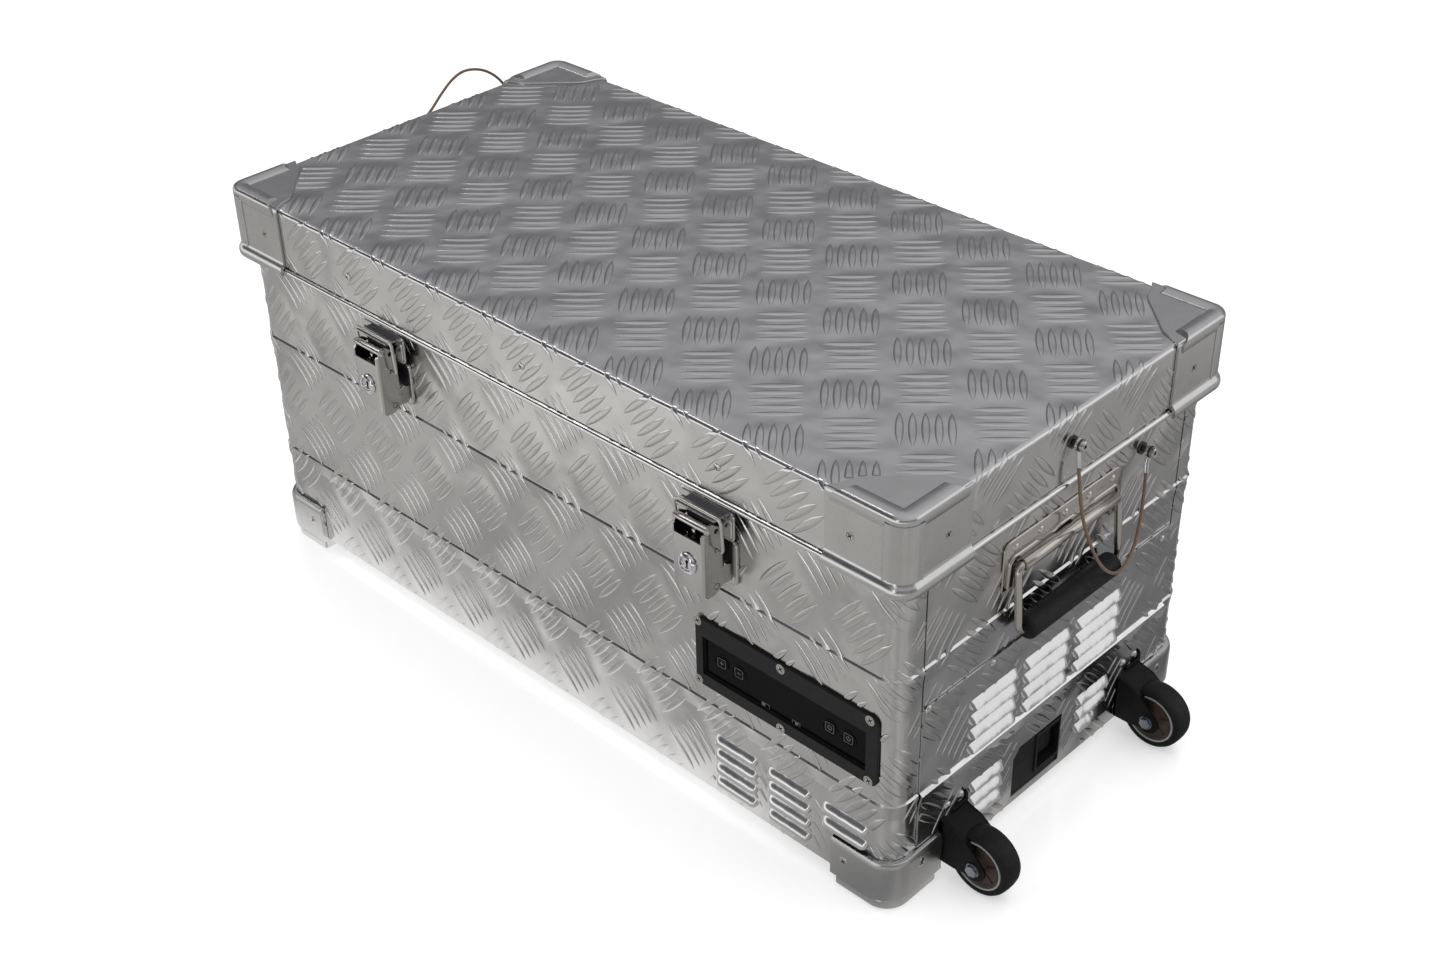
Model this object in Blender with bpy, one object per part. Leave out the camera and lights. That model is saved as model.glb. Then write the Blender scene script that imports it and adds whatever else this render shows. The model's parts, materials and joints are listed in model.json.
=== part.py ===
"""Portable dual-zone compressor cool box built into an aluminium checker-plate trunk.

The trunk stands on four corner feet and two castors, +X towards the castor end, -Y towards
the control panel and latches, +Z up.  The origin is at floor level under the trunk's centre.
Sizes are in millimetres and are turned into metres when a mesh is made.
"""

import math

import bmesh
import bpy
from mathutils import Matrix, Vector

MM = 0.001
GAP = 0.3  # clearance between touching pieces

# ---- driving dimensions (mm) -------------------------------------------------------------
LID_X = 400.0  # half length of the lid skin
LID_Y = 202.0  # half depth of the lid skin
LID_TOP = 382.0  # height of the lid's flat top
PART_Z = 317.0  # parting plane between body and lid
INSET = 6.0  # body wall inside the lid skirt
BODY_X = LID_X - INSET
BODY_Y = LID_Y - INSET
BODY_R = 18.0  # vertical corner radius of the body
LID_R = 12.0  # vertical corner radius of the lid
BODY_LOW = 12.0  # underside of the body shell
BODY_HIGH = 303.0  # top edge of the body shell
SHEET = 2.0  # sheet thickness

SWAGE_OUT = 3.0  # how far the two stiffening swages stand out
SWAGE_LOW = 108.5  # sharp upper edge of the lower swage
SWAGE_HIGH = 232.5  # sharp upper edge of the upper swage
SWAGE_TALL = 16.0

HINGE_Y = 215.5  # lid hinge axis
HINGE_X = 250.0  # each hinge's distance from the middle
HINGE_HALF = 35.0

BAY_X = 180.0  # wall between the cold zones and the machine bay

LATCH_CENTRES = {"left": -185.0, "right": 210.0}
LATCH_PIVOT = (-212.0, 248.0)  # lever's lower pin, (y, z)
BAIL_PIVOT = (-212.0, 282.0)  # wire bail's pins in the lever, (y, z)
LOCK_Z = 269.4

HANDLE_PIVOT = (401.5, 274.0)  # bail axis, (x, z), on the castor end
GRIP_CENTRE = (406.5, 214.0)
HANDLE_HALF = 66.0  # to the middle of the bail's arms

CASTOR_Y = 121.0
WHEEL_AXIS = (430.0, 29.8)  # (x, z)
WHEEL_R = 29.3
WHEEL_HALF = 11.6
FORK_HALF = 16.0
FORK_SHEET = 2.5

PANEL_X = 283.5  # centre of the control panel
PANEL_Z = 158.8
PANEL_HALF = (96.0, 34.0)
WINDOW_CENTRE = (281.7, 155.8)
WINDOW_HALF = (86.5, 19.7)
BUTTONS = {"plus": 214.5, "minus": 233.5, "settings": 329.5, "power": 348.5}
BUTTON_Z = 156.0
BUTTON_HALF = 5.0

CAST_LID_X = 72.0  # length of a lid corner casting along X, from the lid's corner
CAST_LID_Y = 73.0
CAST_FOOT_X = 57.0  # length of a bottom corner casting, from the body corner
CAST_FOOT_Y = 57.5

COVER_HALF = 166.0  # service cover on the castor end
COVER_TOP = 192.0

STAY_R = 1.4  # lid stay's wire rope


# ---- mesh helpers ------------------------------------------------------------------------
def clear_scene():
    for obj in list(bpy.data.objects):
        bpy.data.objects.remove(obj, do_unlink=True)


def material(name, colour, roughness, metallic):
    found = bpy.data.materials.get(name)
    if found:
        return found
    made = bpy.data.materials.new(name)
    made.use_nodes = True
    shader = made.node_tree.nodes["Principled BSDF"]
    shader.inputs["Base Color"].default_value = (*colour, 1.0)
    shader.inputs["Roughness"].default_value = roughness
    shader.inputs["Metallic"].default_value = metallic
    return made


FINISHES = {
    "tread_plate": ((0.68, 0.67, 0.65), 0.32, 1.0),
    "cast_aluminium": ((0.70, 0.69, 0.67), 0.22, 1.0),
    "extruded_aluminium": ((0.72, 0.72, 0.72), 0.25, 1.0),
    "steel": ((0.60, 0.59, 0.57), 0.28, 1.0),
    "stainless": ((0.55, 0.51, 0.46), 0.30, 1.0),
    "black_plastic": ((0.012, 0.012, 0.012), 0.45, 0.0),
    "window": ((0.004, 0.004, 0.005), 0.08, 0.0),
    "black_steel": ((0.010, 0.010, 0.011), 0.5, 0.0),
    "rubber": ((0.015, 0.015, 0.015), 0.6, 0.0),
    "hub_brown": ((0.045, 0.028, 0.018), 0.45, 0.0),
    "liner": ((0.70, 0.71, 0.72), 0.4, 0.0),
    "foam": ((0.80, 0.72, 0.45), 0.9, 0.0),
    "wire_rope": ((0.16, 0.10, 0.065), 0.5, 0.0),
}


def add(name, mesh, finish, smooth=True):
    """Put a bmesh, drawn in millimetres, in the scene as a named object in metres."""
    bmesh.ops.remove_doubles(mesh, verts=mesh.verts, dist=1e-4)
    bmesh.ops.recalc_face_normals(mesh, faces=mesh.faces)
    bmesh.ops.scale(mesh, vec=(MM, MM, MM), verts=mesh.verts)
    data = bpy.data.meshes.new(name)
    mesh.to_mesh(data)
    mesh.free()
    if smooth:
        data.shade_smooth()
        data.set_sharp_from_angle(angle=math.radians(35))
    obj = bpy.data.objects.new(name, data)
    bpy.context.scene.collection.objects.link(obj)
    data.materials.append(material(finish, *FINISHES[finish]))
    return obj


def boolean(target, mesh, operation):
    """Cut, join or clip target with a mesh, which is hidden and is not a piece."""
    tool = add("tool", mesh, "steel", smooth=False)
    tool.hide_render = True
    tool.display_type = "WIRE"
    step = target.modifiers.new(operation.lower(), "BOOLEAN")
    step.operation = operation
    step.solver = "EXACT"
    step.object = tool


def cut(target, mesh):
    boolean(target, mesh, "DIFFERENCE")


def join(target, mesh):
    boolean(target, mesh, "UNION")


def clip(target, mesh):
    boolean(target, mesh, "INTERSECT")


def rounded(half_x, half_y, radius, steps=4):
    """Points of a rounded rectangle about the origin, anticlockwise."""
    points = []
    radius = max(radius, 0.05)
    centres = ((1, 1, 0), (-1, 1, 90), (-1, -1, 180), (1, -1, 270))
    for sign_x, sign_y, start in centres:
        for i in range(steps + 1):
            angle = math.radians(start + 90.0 * i / steps)
            points.append((
                sign_x * (half_x - radius) + radius * math.cos(angle),
                sign_y * (half_y - radius) + radius * math.sin(angle),
            ))
    return points


def loft(rings, closed=False):
    """Skin a list of equal loops; capped at both ends, or joined end to end if closed."""
    mesh = bmesh.new()
    loops = [[mesh.verts.new(p) for p in ring] for ring in rings]
    pairs = list(zip(loops, loops[1:]))
    if closed:
        pairs.append((loops[-1], loops[0]))
    for lower, upper in pairs:
        count = len(lower)
        for i in range(count):
            j = (i + 1) % count
            mesh.faces.new((lower[i], lower[j], upper[j], upper[i]))
    if not closed:
        mesh.faces.new(list(reversed(loops[0])))
        mesh.faces.new(loops[-1])
    return mesh


def wrap(profile, half_x, half_y, radius, closed=False, steps=4):
    """Carry an (offset, height) profile round a rounded rectangle."""
    rings = []
    for offset, height in profile:
        loop = rounded(half_x + offset, half_y + offset, radius + offset, steps)
        rings.append([(x, y, height) for x, y in loop])
    return loft(rings, closed)


def block(low, high):
    """A box between two corners."""
    mesh = bmesh.new()
    size = [high[i] - low[i] for i in range(3)]
    centre = [(high[i] + low[i]) / 2 for i in range(3)]
    matrix = Matrix.Translation(centre) @ Matrix.Diagonal((*size, 1.0))
    bmesh.ops.create_cube(mesh, size=1.0, matrix=matrix)
    return mesh


def several(meshes):
    """Gather meshes that don't touch in one cutter."""
    whole = bmesh.new()
    for mesh in meshes:
        data = bpy.data.meshes.new("gather")
        mesh.to_mesh(data)
        mesh.free()
        whole.from_mesh(data)
        bpy.data.meshes.remove(data)
    return whole


AXIS_TURN = {
    "z": Matrix.Identity(4),
    "x": Matrix(((0, 0, 1, 0), (1, 0, 0, 0), (0, 1, 0, 0), (0, 0, 0, 1))),
    "y": Matrix(((0, 1, 0, 0), (0, 0, 1, 0), (1, 0, 0, 0), (0, 0, 0, 1))),
}


def prism(outline, low, high, axis="z"):
    """Extrude an outline.  It lies in XY for axis z, in YZ for axis x, in ZX for axis y."""
    mesh = loft([[(a, b, low) for a, b in outline], [(a, b, high) for a, b in outline]])
    bmesh.ops.transform(mesh, matrix=AXIS_TURN[axis], verts=mesh.verts)
    return mesh


def circle(radius, steps, centre=(0.0, 0.0), start=0.0):
    """Points of a circle; start turns the first one, in degrees."""
    angles = [math.radians(start + 360.0 * i / steps) for i in range(steps)]
    return [(centre[0] + radius * math.cos(a), centre[1] + radius * math.sin(a)) for a in angles]


def turned(profile, centre, axis="z", steps=24, bored=False):
    """Turn (radius, height) points about an axis through centre; bored joins the ends of the profile."""
    rings = [[(a, b, height) for a, b in circle(radius, steps)] for radius, height in profile]
    mesh = loft(rings, closed=bored)
    matrix = Matrix.Translation(centre) @ AXIS_TURN[axis]
    bmesh.ops.transform(mesh, matrix=matrix, verts=mesh.verts)
    return mesh


def rod(start, end, radius, steps=12):
    """A straight round bar."""
    return sweep([start, end], radius, steps)


def sweep(path, radius, steps=10):
    """A round bar along a path, its section carried without twisting."""
    points = [Vector(p) for p in path]
    tangents = []
    for i, point in enumerate(points):
        before = points[max(i - 1, 0)]
        after = points[min(i + 1, len(points) - 1)]
        tangents.append((after - before).normalized())
    side = tangents[0].orthogonal().normalized()
    rings = []
    for point, tangent in zip(points, tangents):
        side = (side - tangent * side.dot(tangent)).normalized()
        other = tangent.cross(side)
        rings.append([
            point + radius * (math.cos(2 * math.pi * k / steps) * side
                              + math.sin(2 * math.pi * k / steps) * other)
            for k in range(steps)
        ])
    return loft(rings)


def bent(corners, radius, steps=4):
    """Round off the inner corners of a path."""
    points = [Vector(p) for p in corners]
    path = [points[0]]
    for before, corner, after in zip(points, points[1:], points[2:]):
        start = corner + (before - corner).normalized() * radius
        end = corner + (after - corner).normalized() * radius
        for i in range(steps + 1):
            t = i / steps
            path.append((1 - t) ** 2 * start + 2 * t * (1 - t) * corner + t * t * end)
    path.append(points[-1])
    return path


def smooth_path(points, per_span):
    """A Catmull-Rom curve through hand-placed points."""
    knots = [Vector(p) for p in points]
    knots = [2 * knots[0] - knots[1], *knots, 2 * knots[-1] - knots[-2]]
    path = []
    for a, b, c, d in zip(knots, knots[1:], knots[2:], knots[3:]):
        for i in range(per_span):
            t = i / per_span
            path.append(0.5 * (2 * b + (c - a) * t + (2 * a - 5 * b + 4 * c - d) * t * t
                               + (3 * b - a - 3 * c + d) * t ** 3))
    path.append(knots[-2])
    return path


def mirror_x(mesh):
    """Mirror a mesh to the other end of the trunk."""
    bmesh.ops.scale(mesh, vec=(-1, 1, 1), verts=mesh.verts)
    bmesh.ops.reverse_faces(mesh, faces=mesh.faces)
    return mesh


def to_end(mesh, side):
    return mirror_x(mesh) if side == "left" else mesh


# ---- louvre layout, shared by the front wall and the service cover -----------------------
LOUVRE_PITCH = 15.0
LOUVRE_TALL = 6.0
FRONT_LOUVRES = ((208.0, 250.0, 73.0, 4), (267.0, 308.0, 73.0, 4), (326.0, 368.0, 73.0, 2))
END_LOUVRES = (
    (-106.0, -50.0, 160.0, 4), (-37.0, 20.0, 160.0, 4), (33.0, 92.0, 160.0, 4),
    (-100.0, -60.0, 71.0, 3), (45.0, 87.0, 71.0, 3),
)


def louvre_slots(groups, make):
    slots = []
    for low, high, top, count in groups:
        for row in range(count):
            middle = top - row * LOUVRE_PITCH
            slots.append(make(low, high, middle))
    return several(slots)


# ---- body --------------------------------------------------------------------------------
def swage(top):
    return [(0.0, top - SWAGE_TALL), (SWAGE_OUT, top - 2.0), (0.0, top + 0.5)]


def body_profile():
    return [(-2.0, BODY_LOW), (0.0, BODY_LOW + 2.0), *swage(SWAGE_LOW), *swage(SWAGE_HIGH),
            (0.0, BODY_HIGH)]


BODY_STUD = (105.0, 296.0)  # lid stay's lower stud, (y, z)
LID_STUD = (-6.0, 357.0)  # lid stay's upper stud


def stud(start_x, end_x, place, side):
    """Shoulder stud that holds one end of a lid stay."""
    y, z = place
    profile = [(2.6, start_x), (2.6, end_x - 3.0), (4.6, end_x - 3.0), (4.6, end_x)]
    return to_end(turned(profile, (0, y, z), "x", 12), side)


def outer_shell():
    profile = body_profile() + [(-SHEET, BODY_HIGH), (-SHEET, BODY_LOW + 3.0)]
    shell = add("outer_shell", wrap(profile, BODY_X, BODY_Y, BODY_R), "tread_plate")
    cut(shell, block((BODY_X - 10, -130, 18), (BODY_X + 10, 130, 180)))
    cut(shell, block((191.5, -BODY_Y - 5, 132.5), (372.5, -BODY_Y + 5, 179.5)))
    cut(shell, louvre_slots(FRONT_LOUVRES, lambda low, high, z: block(
        (low, -BODY_Y - 5, z - LOUVRE_TALL / 2), (high, -BODY_Y + 5, z + LOUVRE_TALL / 2))))
    for side in ("left", "right"):
        join(shell, stud(BODY_X - 1, BODY_X + 9.5, BODY_STUD, side))


def body_rim():
    low = BODY_HIGH + GAP
    profile = [(4.0, low), (4.0, PART_Z), (-8.0, PART_Z), (-8.0, low)]
    add("body_rim", wrap(profile, BODY_X, BODY_Y, BODY_R, closed=True), "extruded_aluminium")


ZONES = {"large": (-352.0, -52.0), "small": (-28.0, 146.0)}
ZONE_Y = 154.0
ZONE_FLOOR = 58.0
TUB_WALL = 3.0
TUB_TOP = PART_Z - GAP
FLANGE = 3.4
TUB_X = (ZONES["large"][0] - TUB_WALL, ZONES["small"][1] + TUB_WALL)


def liner_tub():
    middle = (TUB_X[0] + TUB_X[1]) / 2
    half = (TUB_X[1] - TUB_X[0]) / 2
    tub = add("liner_tub", block(
        (middle - half, -ZONE_Y - TUB_WALL, ZONE_FLOOR - TUB_WALL),
        (middle + half, ZONE_Y + TUB_WALL, TUB_TOP - 1.0)), "liner")
    edge = -8.0 - GAP
    join(tub, wrap([(edge, TUB_TOP - FLANGE), (edge, TUB_TOP)], BODY_X, BODY_Y, BODY_R))
    for low, high in ZONES.values():
        cut(tub, block((low, -ZONE_Y, ZONE_FLOOR), (high, ZONE_Y, TUB_TOP + 5)))


def insulation():
    inner = SHEET + GAP
    outline = [(x + (BAY_X - BODY_X) / 2, y) for x, y in rounded(
        (BODY_X + BAY_X) / 2 - inner, BODY_Y - inner, BODY_R - inner)]
    foam = add("insulation", prism(outline, BODY_LOW + 3.0 + GAP, BODY_HIGH - 1.0), "foam")
    cut(foam, block((TUB_X[0] - GAP, -ZONE_Y - TUB_WALL - GAP, ZONE_FLOOR - TUB_WALL - GAP),
                    (TUB_X[1] + GAP, ZONE_Y + TUB_WALL + GAP, BODY_HIGH + 20)))


def bay_bulkhead():
    reach = BODY_Y - SHEET - 1.0
    add("bay_bulkhead", block((BAY_X, -reach, BODY_LOW + 3.0 + GAP), (BAY_X + 1.5, reach, BODY_HIGH - 1.0)),
        "extruded_aluminium")


def baskets():
    for size, (low, high) in ZONES.items():
        profile = [(-3.0, ZONE_FLOOR + 4), (0.0, ZONE_FLOOR + 6), (0.0, 288.0), (3.0, 290.0),
                   (3.0, 293.0), (-2.0, 293.0), (-2.0, ZONE_FLOOR + 7)]
        mesh = wrap(profile, (high - low) / 2 - 7.0, ZONE_Y - 7.0, 3.0, steps=1)
        bmesh.ops.translate(mesh, vec=((low + high) / 2, 0, 0), verts=mesh.verts)
        add("basket_" + size, mesh, "steel")


def service_cover():
    """Removable louvred panel on the castor end, pressed to follow the lower swage."""
    inner = BODY_X + GAP
    thick = 1.5
    face = [(z, inner + offset) for offset, z in ((0.0, 14.0), *swage(SWAGE_LOW), (0.0, COVER_TOP))]
    back = [(z, x) for z, x in face]
    front = [(z, x + thick) for z, x in reversed(face)]
    cover = add("service_cover", prism(back + front, -COVER_HALF, COVER_HALF, "y"), "tread_plate")
    notch = BODY_Y - CAST_FOOT_Y
    cut(cover, several([block((BODY_X - 5, low, 0), (BODY_X + 10, low + 40, 52))
                        for low in (-notch - 40, notch)]))
    inlet = [(-42, 21), (24, 21), (24, 71), (-34, 71), (-42, 62)]
    cut(cover, prism(inlet, BODY_X - 5, BODY_X + 10, "x"))
    cut(cover, louvre_slots(END_LOUVRES, lambda low, high, z: block(
        (BODY_X - 5, low, z - LOUVRE_TALL / 2), (BODY_X + 10, high, z + LOUVRE_TALL / 2))))


def inlet_plate():
    """Black plate behind the cover's cut-out, with the recessed appliance inlet."""
    face = BODY_X
    plate = add("inlet_plate", block((face - 2.5, -50, 19.0), (face, 32, 79)), "black_plastic",
                smooth=False)
    join(plate, block((face - 24, -9, 25), (face - 2, 26, 68)))
    cut(plate, block((face - 20, -5, 29), (face + 5, 22, 64)))
    for y, z in ((8.5, 55.0), (2.5, 40.0), (14.5, 40.0)):
        join(plate, rod((face - 21, y, z), (face - 8, y, z), 1.8, 8))


# ---- control panel -----------------------------------------------------------------------
def shifted(outline, centre):
    return [(a + centre[0], b + centre[1]) for a, b in outline]


def zx(outline):
    """Swap an (x, z) outline to the (z, x) order that an extrusion along Y takes."""
    return [(z, x) for x, z in outline]


def control_panel():
    front = -BODY_Y - GAP
    outline = zx(shifted(rounded(*PANEL_HALF, 7.0), (PANEL_X, PANEL_Z)))
    bezel = add("panel_bezel", prism(outline, front - 2.2, front, "y"), "black_plastic")
    hole = zx(shifted(rounded(*WINDOW_HALF, 2.0), WINDOW_CENTRE))
    cut(bezel, prism(hole, front - 9, front + 5, "y"))

    back = -BODY_Y + 0.3
    half = (WINDOW_HALF[0] + 2.5, WINDOW_HALF[1] + 2.5)
    outline = zx(shifted(rounded(*half, 2.0), WINDOW_CENTRE))
    window = add("panel_window", prism(outline, back, back + 2.0, "y"), "window")
    reach = BUTTON_HALF + GAP
    cut(window, several([
        block((x - reach, -BODY_Y - 5, BUTTON_Z - reach), (x + reach, -BODY_Y + 9, BUTTON_Z + reach))
        for x in BUTTONS.values()]))
    for name, x in BUTTONS.items():
        outline = zx(shifted(rounded(BUTTON_HALF, BUTTON_HALF, 1.5, 3), (x, BUTTON_Z)))
        add("button_" + name, prism(outline, back - 0.6, back + 5.0, "y"), "window")


# ---- machine bay -------------------------------------------------------------------------
BAY_FLOOR = BODY_LOW + 3.0 + GAP
FAN_CENTRE = (338.0, 0.0, 136.0)


def machine_bay():
    x, y = 248.0, -60.0
    profile = [(50, BAY_FLOOR), (50, BAY_FLOOR + 4), (44, BAY_FLOOR + 10), (46, BAY_FLOOR + 40),
               (46, BAY_FLOOR + 75), (38, BAY_FLOOR + 98), (18, BAY_FLOOR + 108)]
    pot = add("compressor", turned(profile, (x, y, 0)), "black_steel")
    join(pot, rod((x, y + 30, BAY_FLOOR + 80), (x, y + 30, BAY_FLOOR + 140), 4.0, 10))

    coil = add("condenser", block((352, -118, 76), (386, 118, 196)), "extruded_aluminium", smooth=False)
    cut(coil, several([block((345, -108 + 12 * i, 84), (390, -102 + 12 * i, 188)) for i in range(19)]))

    cx, cy, cz = FAN_CENTRE
    outline = shifted(rounded(60, 60, 6), (cy, cz))
    frame = add("fan_frame", prism(outline, cx - 13, cx + 12, "x"), "black_plastic")
    cut(frame, prism(circle(55, 24, (cy, cz)), cx - 9, cx + 20, "x"))
    windows = []
    for i in range(4):
        arc = []
        for radius, order in ((48, range(7)), (22, reversed(range(7)))):
            for k in order:
                angle = math.radians(90 * i + 8 + 74 * k / 6)
                arc.append((cy + radius * math.cos(angle), cz + radius * math.sin(angle)))
        windows.append(prism(arc, cx - 20, cx + 20, "x"))
    cut(frame, several(windows))

    blades = []
    count = 7
    for i in range(count):
        start = 2 * math.pi * i / count
        for turn, radius in ((0.0, 20.0), (0.10, 50.0), (0.45, 52.0), (0.55, 20.0)):
            blades.append((cy + radius * math.cos(start + turn), cz + radius * math.sin(start + turn)))
    add("fan_rotor", prism(blades, cx - 6, cx + 8, "x"), "black_plastic", smooth=False)

    module = add("power_module", block((200, 70, BAY_FLOOR), (320, 180, 78)), "extruded_aluminium",
                 smooth=False)
    cut(module, several([block((205 + 12 * i, 65, 62), (211 + 12 * i, 185, 90)) for i in range(9)]))


# ---- corner castings ---------------------------------------------------------------------
def corner_outline(sign_x, sign_y, reach_x, reach_y, half_x, half_y, slant):
    """Prism outline over one corner, its inner corner cut off along a slant."""
    far = 30.0
    points = [
        (half_x + far, half_y + far), (half_x - reach_x, half_y + far),
        (half_x - reach_x, half_y - slant), (half_x - slant, half_y - reach_y),
        (half_x + far, half_y - reach_y),
    ]
    outline = [(sign_x * x, sign_y * y) for x, y in points]
    return outline if sign_x * sign_y > 0 else list(reversed(outline))


CORNERS = {"front_left": (-1, -1), "front_right": (1, -1), "rear_left": (-1, 1), "rear_right": (1, 1)}


def bottom_castings():
    profile = [(-12.0, 0.0), (1.0, 0.0), (3.0, 2.0), (3.0, 9.0), (5.9, 11.0), (5.9, 47.0), (3.5, 50.0),
               (GAP, 50.0), (GAP, BODY_LOW + 2.2), (-1.9, BODY_LOW - GAP)]
    slant = 20.0
    for name, (sx, sy) in CORNERS.items():
        casting = add("foot_casting_" + name, wrap(profile, BODY_X, BODY_Y, BODY_R), "cast_aluminium")
        corner = corner_outline(sx, sy, CAST_FOOT_X, CAST_FOOT_Y, BODY_X, BODY_Y, slant)
        clip(casting, prism(corner, -5, 60))


def lid_castings():
    profile = [(-10.5, 384.4), (-9.0, 386.0), (-2.0, 386.0), (1.2, 384.8), (2.3, 382.0), (2.3, 329.0),
               (6.0, 325.5), (6.3, 321.0), (5.4, PART_Z - 0.6), (3.3, PART_Z - 0.6), (3.3, 323.8),
               (GAP, 324.2), (GAP, 378.2), (-1.0, 381.2), (-3.8, LID_TOP + GAP)]
    slant = 22.0
    for name, (sx, sy) in CORNERS.items():
        casting = add("lid_casting_" + name, wrap(profile, LID_X, LID_Y, LID_R), "cast_aluminium")
        corner = corner_outline(sx, sy, CAST_LID_X, CAST_LID_Y, LID_X, LID_Y, slant)
        clip(casting, prism(corner, 300, 400))


# ---- lid ---------------------------------------------------------------------------------
RIM_TOP = 323.5


def lid():
    profile = [(-4.0, LID_TOP), (-1.2, LID_TOP - 1.0), (0.0, LID_TOP - 4.0), (0.0, RIM_TOP + GAP),
               (-SHEET, RIM_TOP + GAP), (-SHEET, LID_TOP - 2.5)]
    skin = add("lid_skin", wrap(profile, LID_X, LID_Y, LID_R), "tread_plate")
    for side in ("left", "right"):
        join(skin, stud(LID_X - 1, LID_X + 9.5, LID_STUD, side))

    low = PART_Z + GAP
    profile = [(2.2, low), (3.0, low + 0.9), (3.0, RIM_TOP - 1.0), (2.2, RIM_TOP), (-6.0, RIM_TOP),
               (-6.0, low)]
    add("lid_rim", wrap(profile, LID_X, LID_Y, LID_R, closed=True), "extruded_aluminium")

    seat = PART_Z + 2.0
    profile = [(-6.4, seat), (-6.4, RIM_TOP + 0.8), (-2.4, RIM_TOP + 1.2), (-2.4, LID_TOP - 2.9)]
    add("lid_liner", wrap(profile, LID_X, LID_Y, LID_R), "liner")

    profile = [(-24.0, TUB_TOP + GAP), (-24.0, seat - GAP), (-34.0, seat - GAP), (-34.0, TUB_TOP + GAP)]
    add("lid_gasket", wrap(profile, LID_X, LID_Y, 40.0, closed=True), "rubber")


def hinges():
    axis = (HINGE_Y, PART_Z)
    low, high = PART_Z - 55, PART_Z + 35
    case_leaf = [(BODY_Y + GAP, low), (BODY_Y + 6.4, low), (BODY_Y + 6.4, 306.5), (HINGE_Y + 2.5, 309.5),
                 (HINGE_Y + 3.0, PART_Z - 2), (HINGE_Y - 3.0, PART_Z - 2), (BODY_Y + 4.4, 308.5),
                 (BODY_Y + 4.4, 301.0), (BODY_Y + GAP, 301.0)]
    lid_leaf = [(LID_Y + GAP, 330.0), (LID_Y + 3.4, 328.0), (LID_Y + 3.4, 324.0),
                (HINGE_Y - 3.0, PART_Z + 3), (HINGE_Y + 2.0, PART_Z + 3.5), (LID_Y + 5.8, 326.0),
                (LID_Y + 5.8, high), (LID_Y + GAP, high)]
    knuckle = 11.5
    for side, x in (("left", -HINGE_X), ("right", HINGE_X)):
        low_x, high_x = x - HINGE_HALF, x + HINGE_HALF
        leaf = add("hinge_case_leaf_" + side, prism(case_leaf, low_x, high_x, "x"), "steel")
        cut(leaf, block((x - knuckle - GAP, HINGE_Y - 8, 307), (x + knuckle + GAP, HINGE_Y + 8, 330)))
        for start, end in ((low_x, x - knuckle - GAP), (x + knuckle + GAP, high_x)):
            join(leaf, rod((start, *axis), (end, *axis), 4.3, 16))
        join(leaf, rod((low_x - 1.5, *axis), (high_x + 1.5, *axis), 1.9, 12))

        leaf = add("hinge_lid_leaf_" + side, prism(lid_leaf, low_x, high_x, "x"), "steel")
        cut(leaf, several([
            block((low_x - 5, LID_Y + 6.2, 310), (x - knuckle, HINGE_Y + 8, 327)),
            block((x + knuckle, LID_Y + 6.2, 310), (high_x + 5, HINGE_Y + 8, 327))]))
        join(leaf, rod((x - knuckle, *axis), (x + knuckle, *axis), 4.3, 16))
        cut(leaf, rod((x - knuckle - 3, *axis), (x + knuckle + 3, *axis), 2.4, 16))


# ---- latches -----------------------------------------------------------------------------
def latch(side, x):
    wall = -BODY_Y - GAP
    y, z = LATCH_PIVOT
    outline = zx(shifted(rounded(26, 21.5, 5), (x, 264.5)))
    base = add("latch_base_" + side, prism(outline, wall - 3.4, wall, "y"), "steel")
    ear = [(wall - 3.0, 243), (wall - 3.0, 262), (y - 1, 254.5), (y - 4.5, 248), (y - 2, 243.5)]
    join(base, prism(ear, x - 14.6, x - 12.6, "x"))
    join(base, prism(ear, x + 12.6, x + 14.6, "x"))
    join(base, rod((x - 16.6, y, z), (x + 16.6, y, z), 1.9, 12))

    front, back, low, high = -226.0, -205.7, 241.0, 309.5
    side_view = [(back, low + 2), (back, high), (front + 5, high), (front + 1.5, high - 1.2),
                 (front, high - 4.5), (front, low + 5), (front + 5, low)]
    lever = add("latch_lever_" + side, prism(side_view, x - 17, x + 17, "x"), "steel")
    cut(lever, block((x - 15.2, front + 1.7, low - 5), (x + 15.2, back + 8, high - 1.7)))
    cut(lever, block((x - 14, front - 5, 294), (x + 14, front + 4, 304)))
    cut(lever, rod((x - 22, y, z), (x + 22, y, z), 2.3, 12))
    cut(lever, rod((x - 22, *BAIL_PIVOT), (x + 22, *BAIL_PIVOT), 1.8, 12))
    cut(lever, rod((x, front - 5, LOCK_Z), (x, front + 5, LOCK_Z), 7.2, 20))

    profile = [(6.6, front - 3.2), (9.6, front - 2.2), (9.6, front - GAP), (6.7, front - GAP),
               (6.7, front + 13)]
    add("lock_barrel_" + side, turned(profile, (x, 0, LOCK_Z), "y", 20), "steel")

    py, pz = BAIL_PIVOT
    corners = [(x - 15.6, py, pz), (x - 24.5, py, pz), (x - 24.5, py - 2.5, pz + 32),
               (x + 24.5, py - 2.5, pz + 32), (x + 24.5, py, pz), (x + 15.6, py, pz)]
    add("latch_bail_" + side, sweep(bent(corners, 4.0), 1.4, 8), "steel")

    keeper_y = -203.2
    plate = zx(shifted(rounded(29, 13.8, 4), (x, PART_Z - 14.2)))
    keeper = add("latch_keeper_" + side, prism(plate, keeper_y - 1.8, keeper_y, "y"), "steel")
    tip = py - 5.4
    root = keeper_y - 1.0
    hook = [(root, 310.7), (root, 312.2), (tip + 1.2, 312.2), (tip + 1.2, 313.6), (tip, 313.6),
            (tip, 310.7)]
    join(keeper, prism(hook, x - 20, x + 20, "x"))


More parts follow.
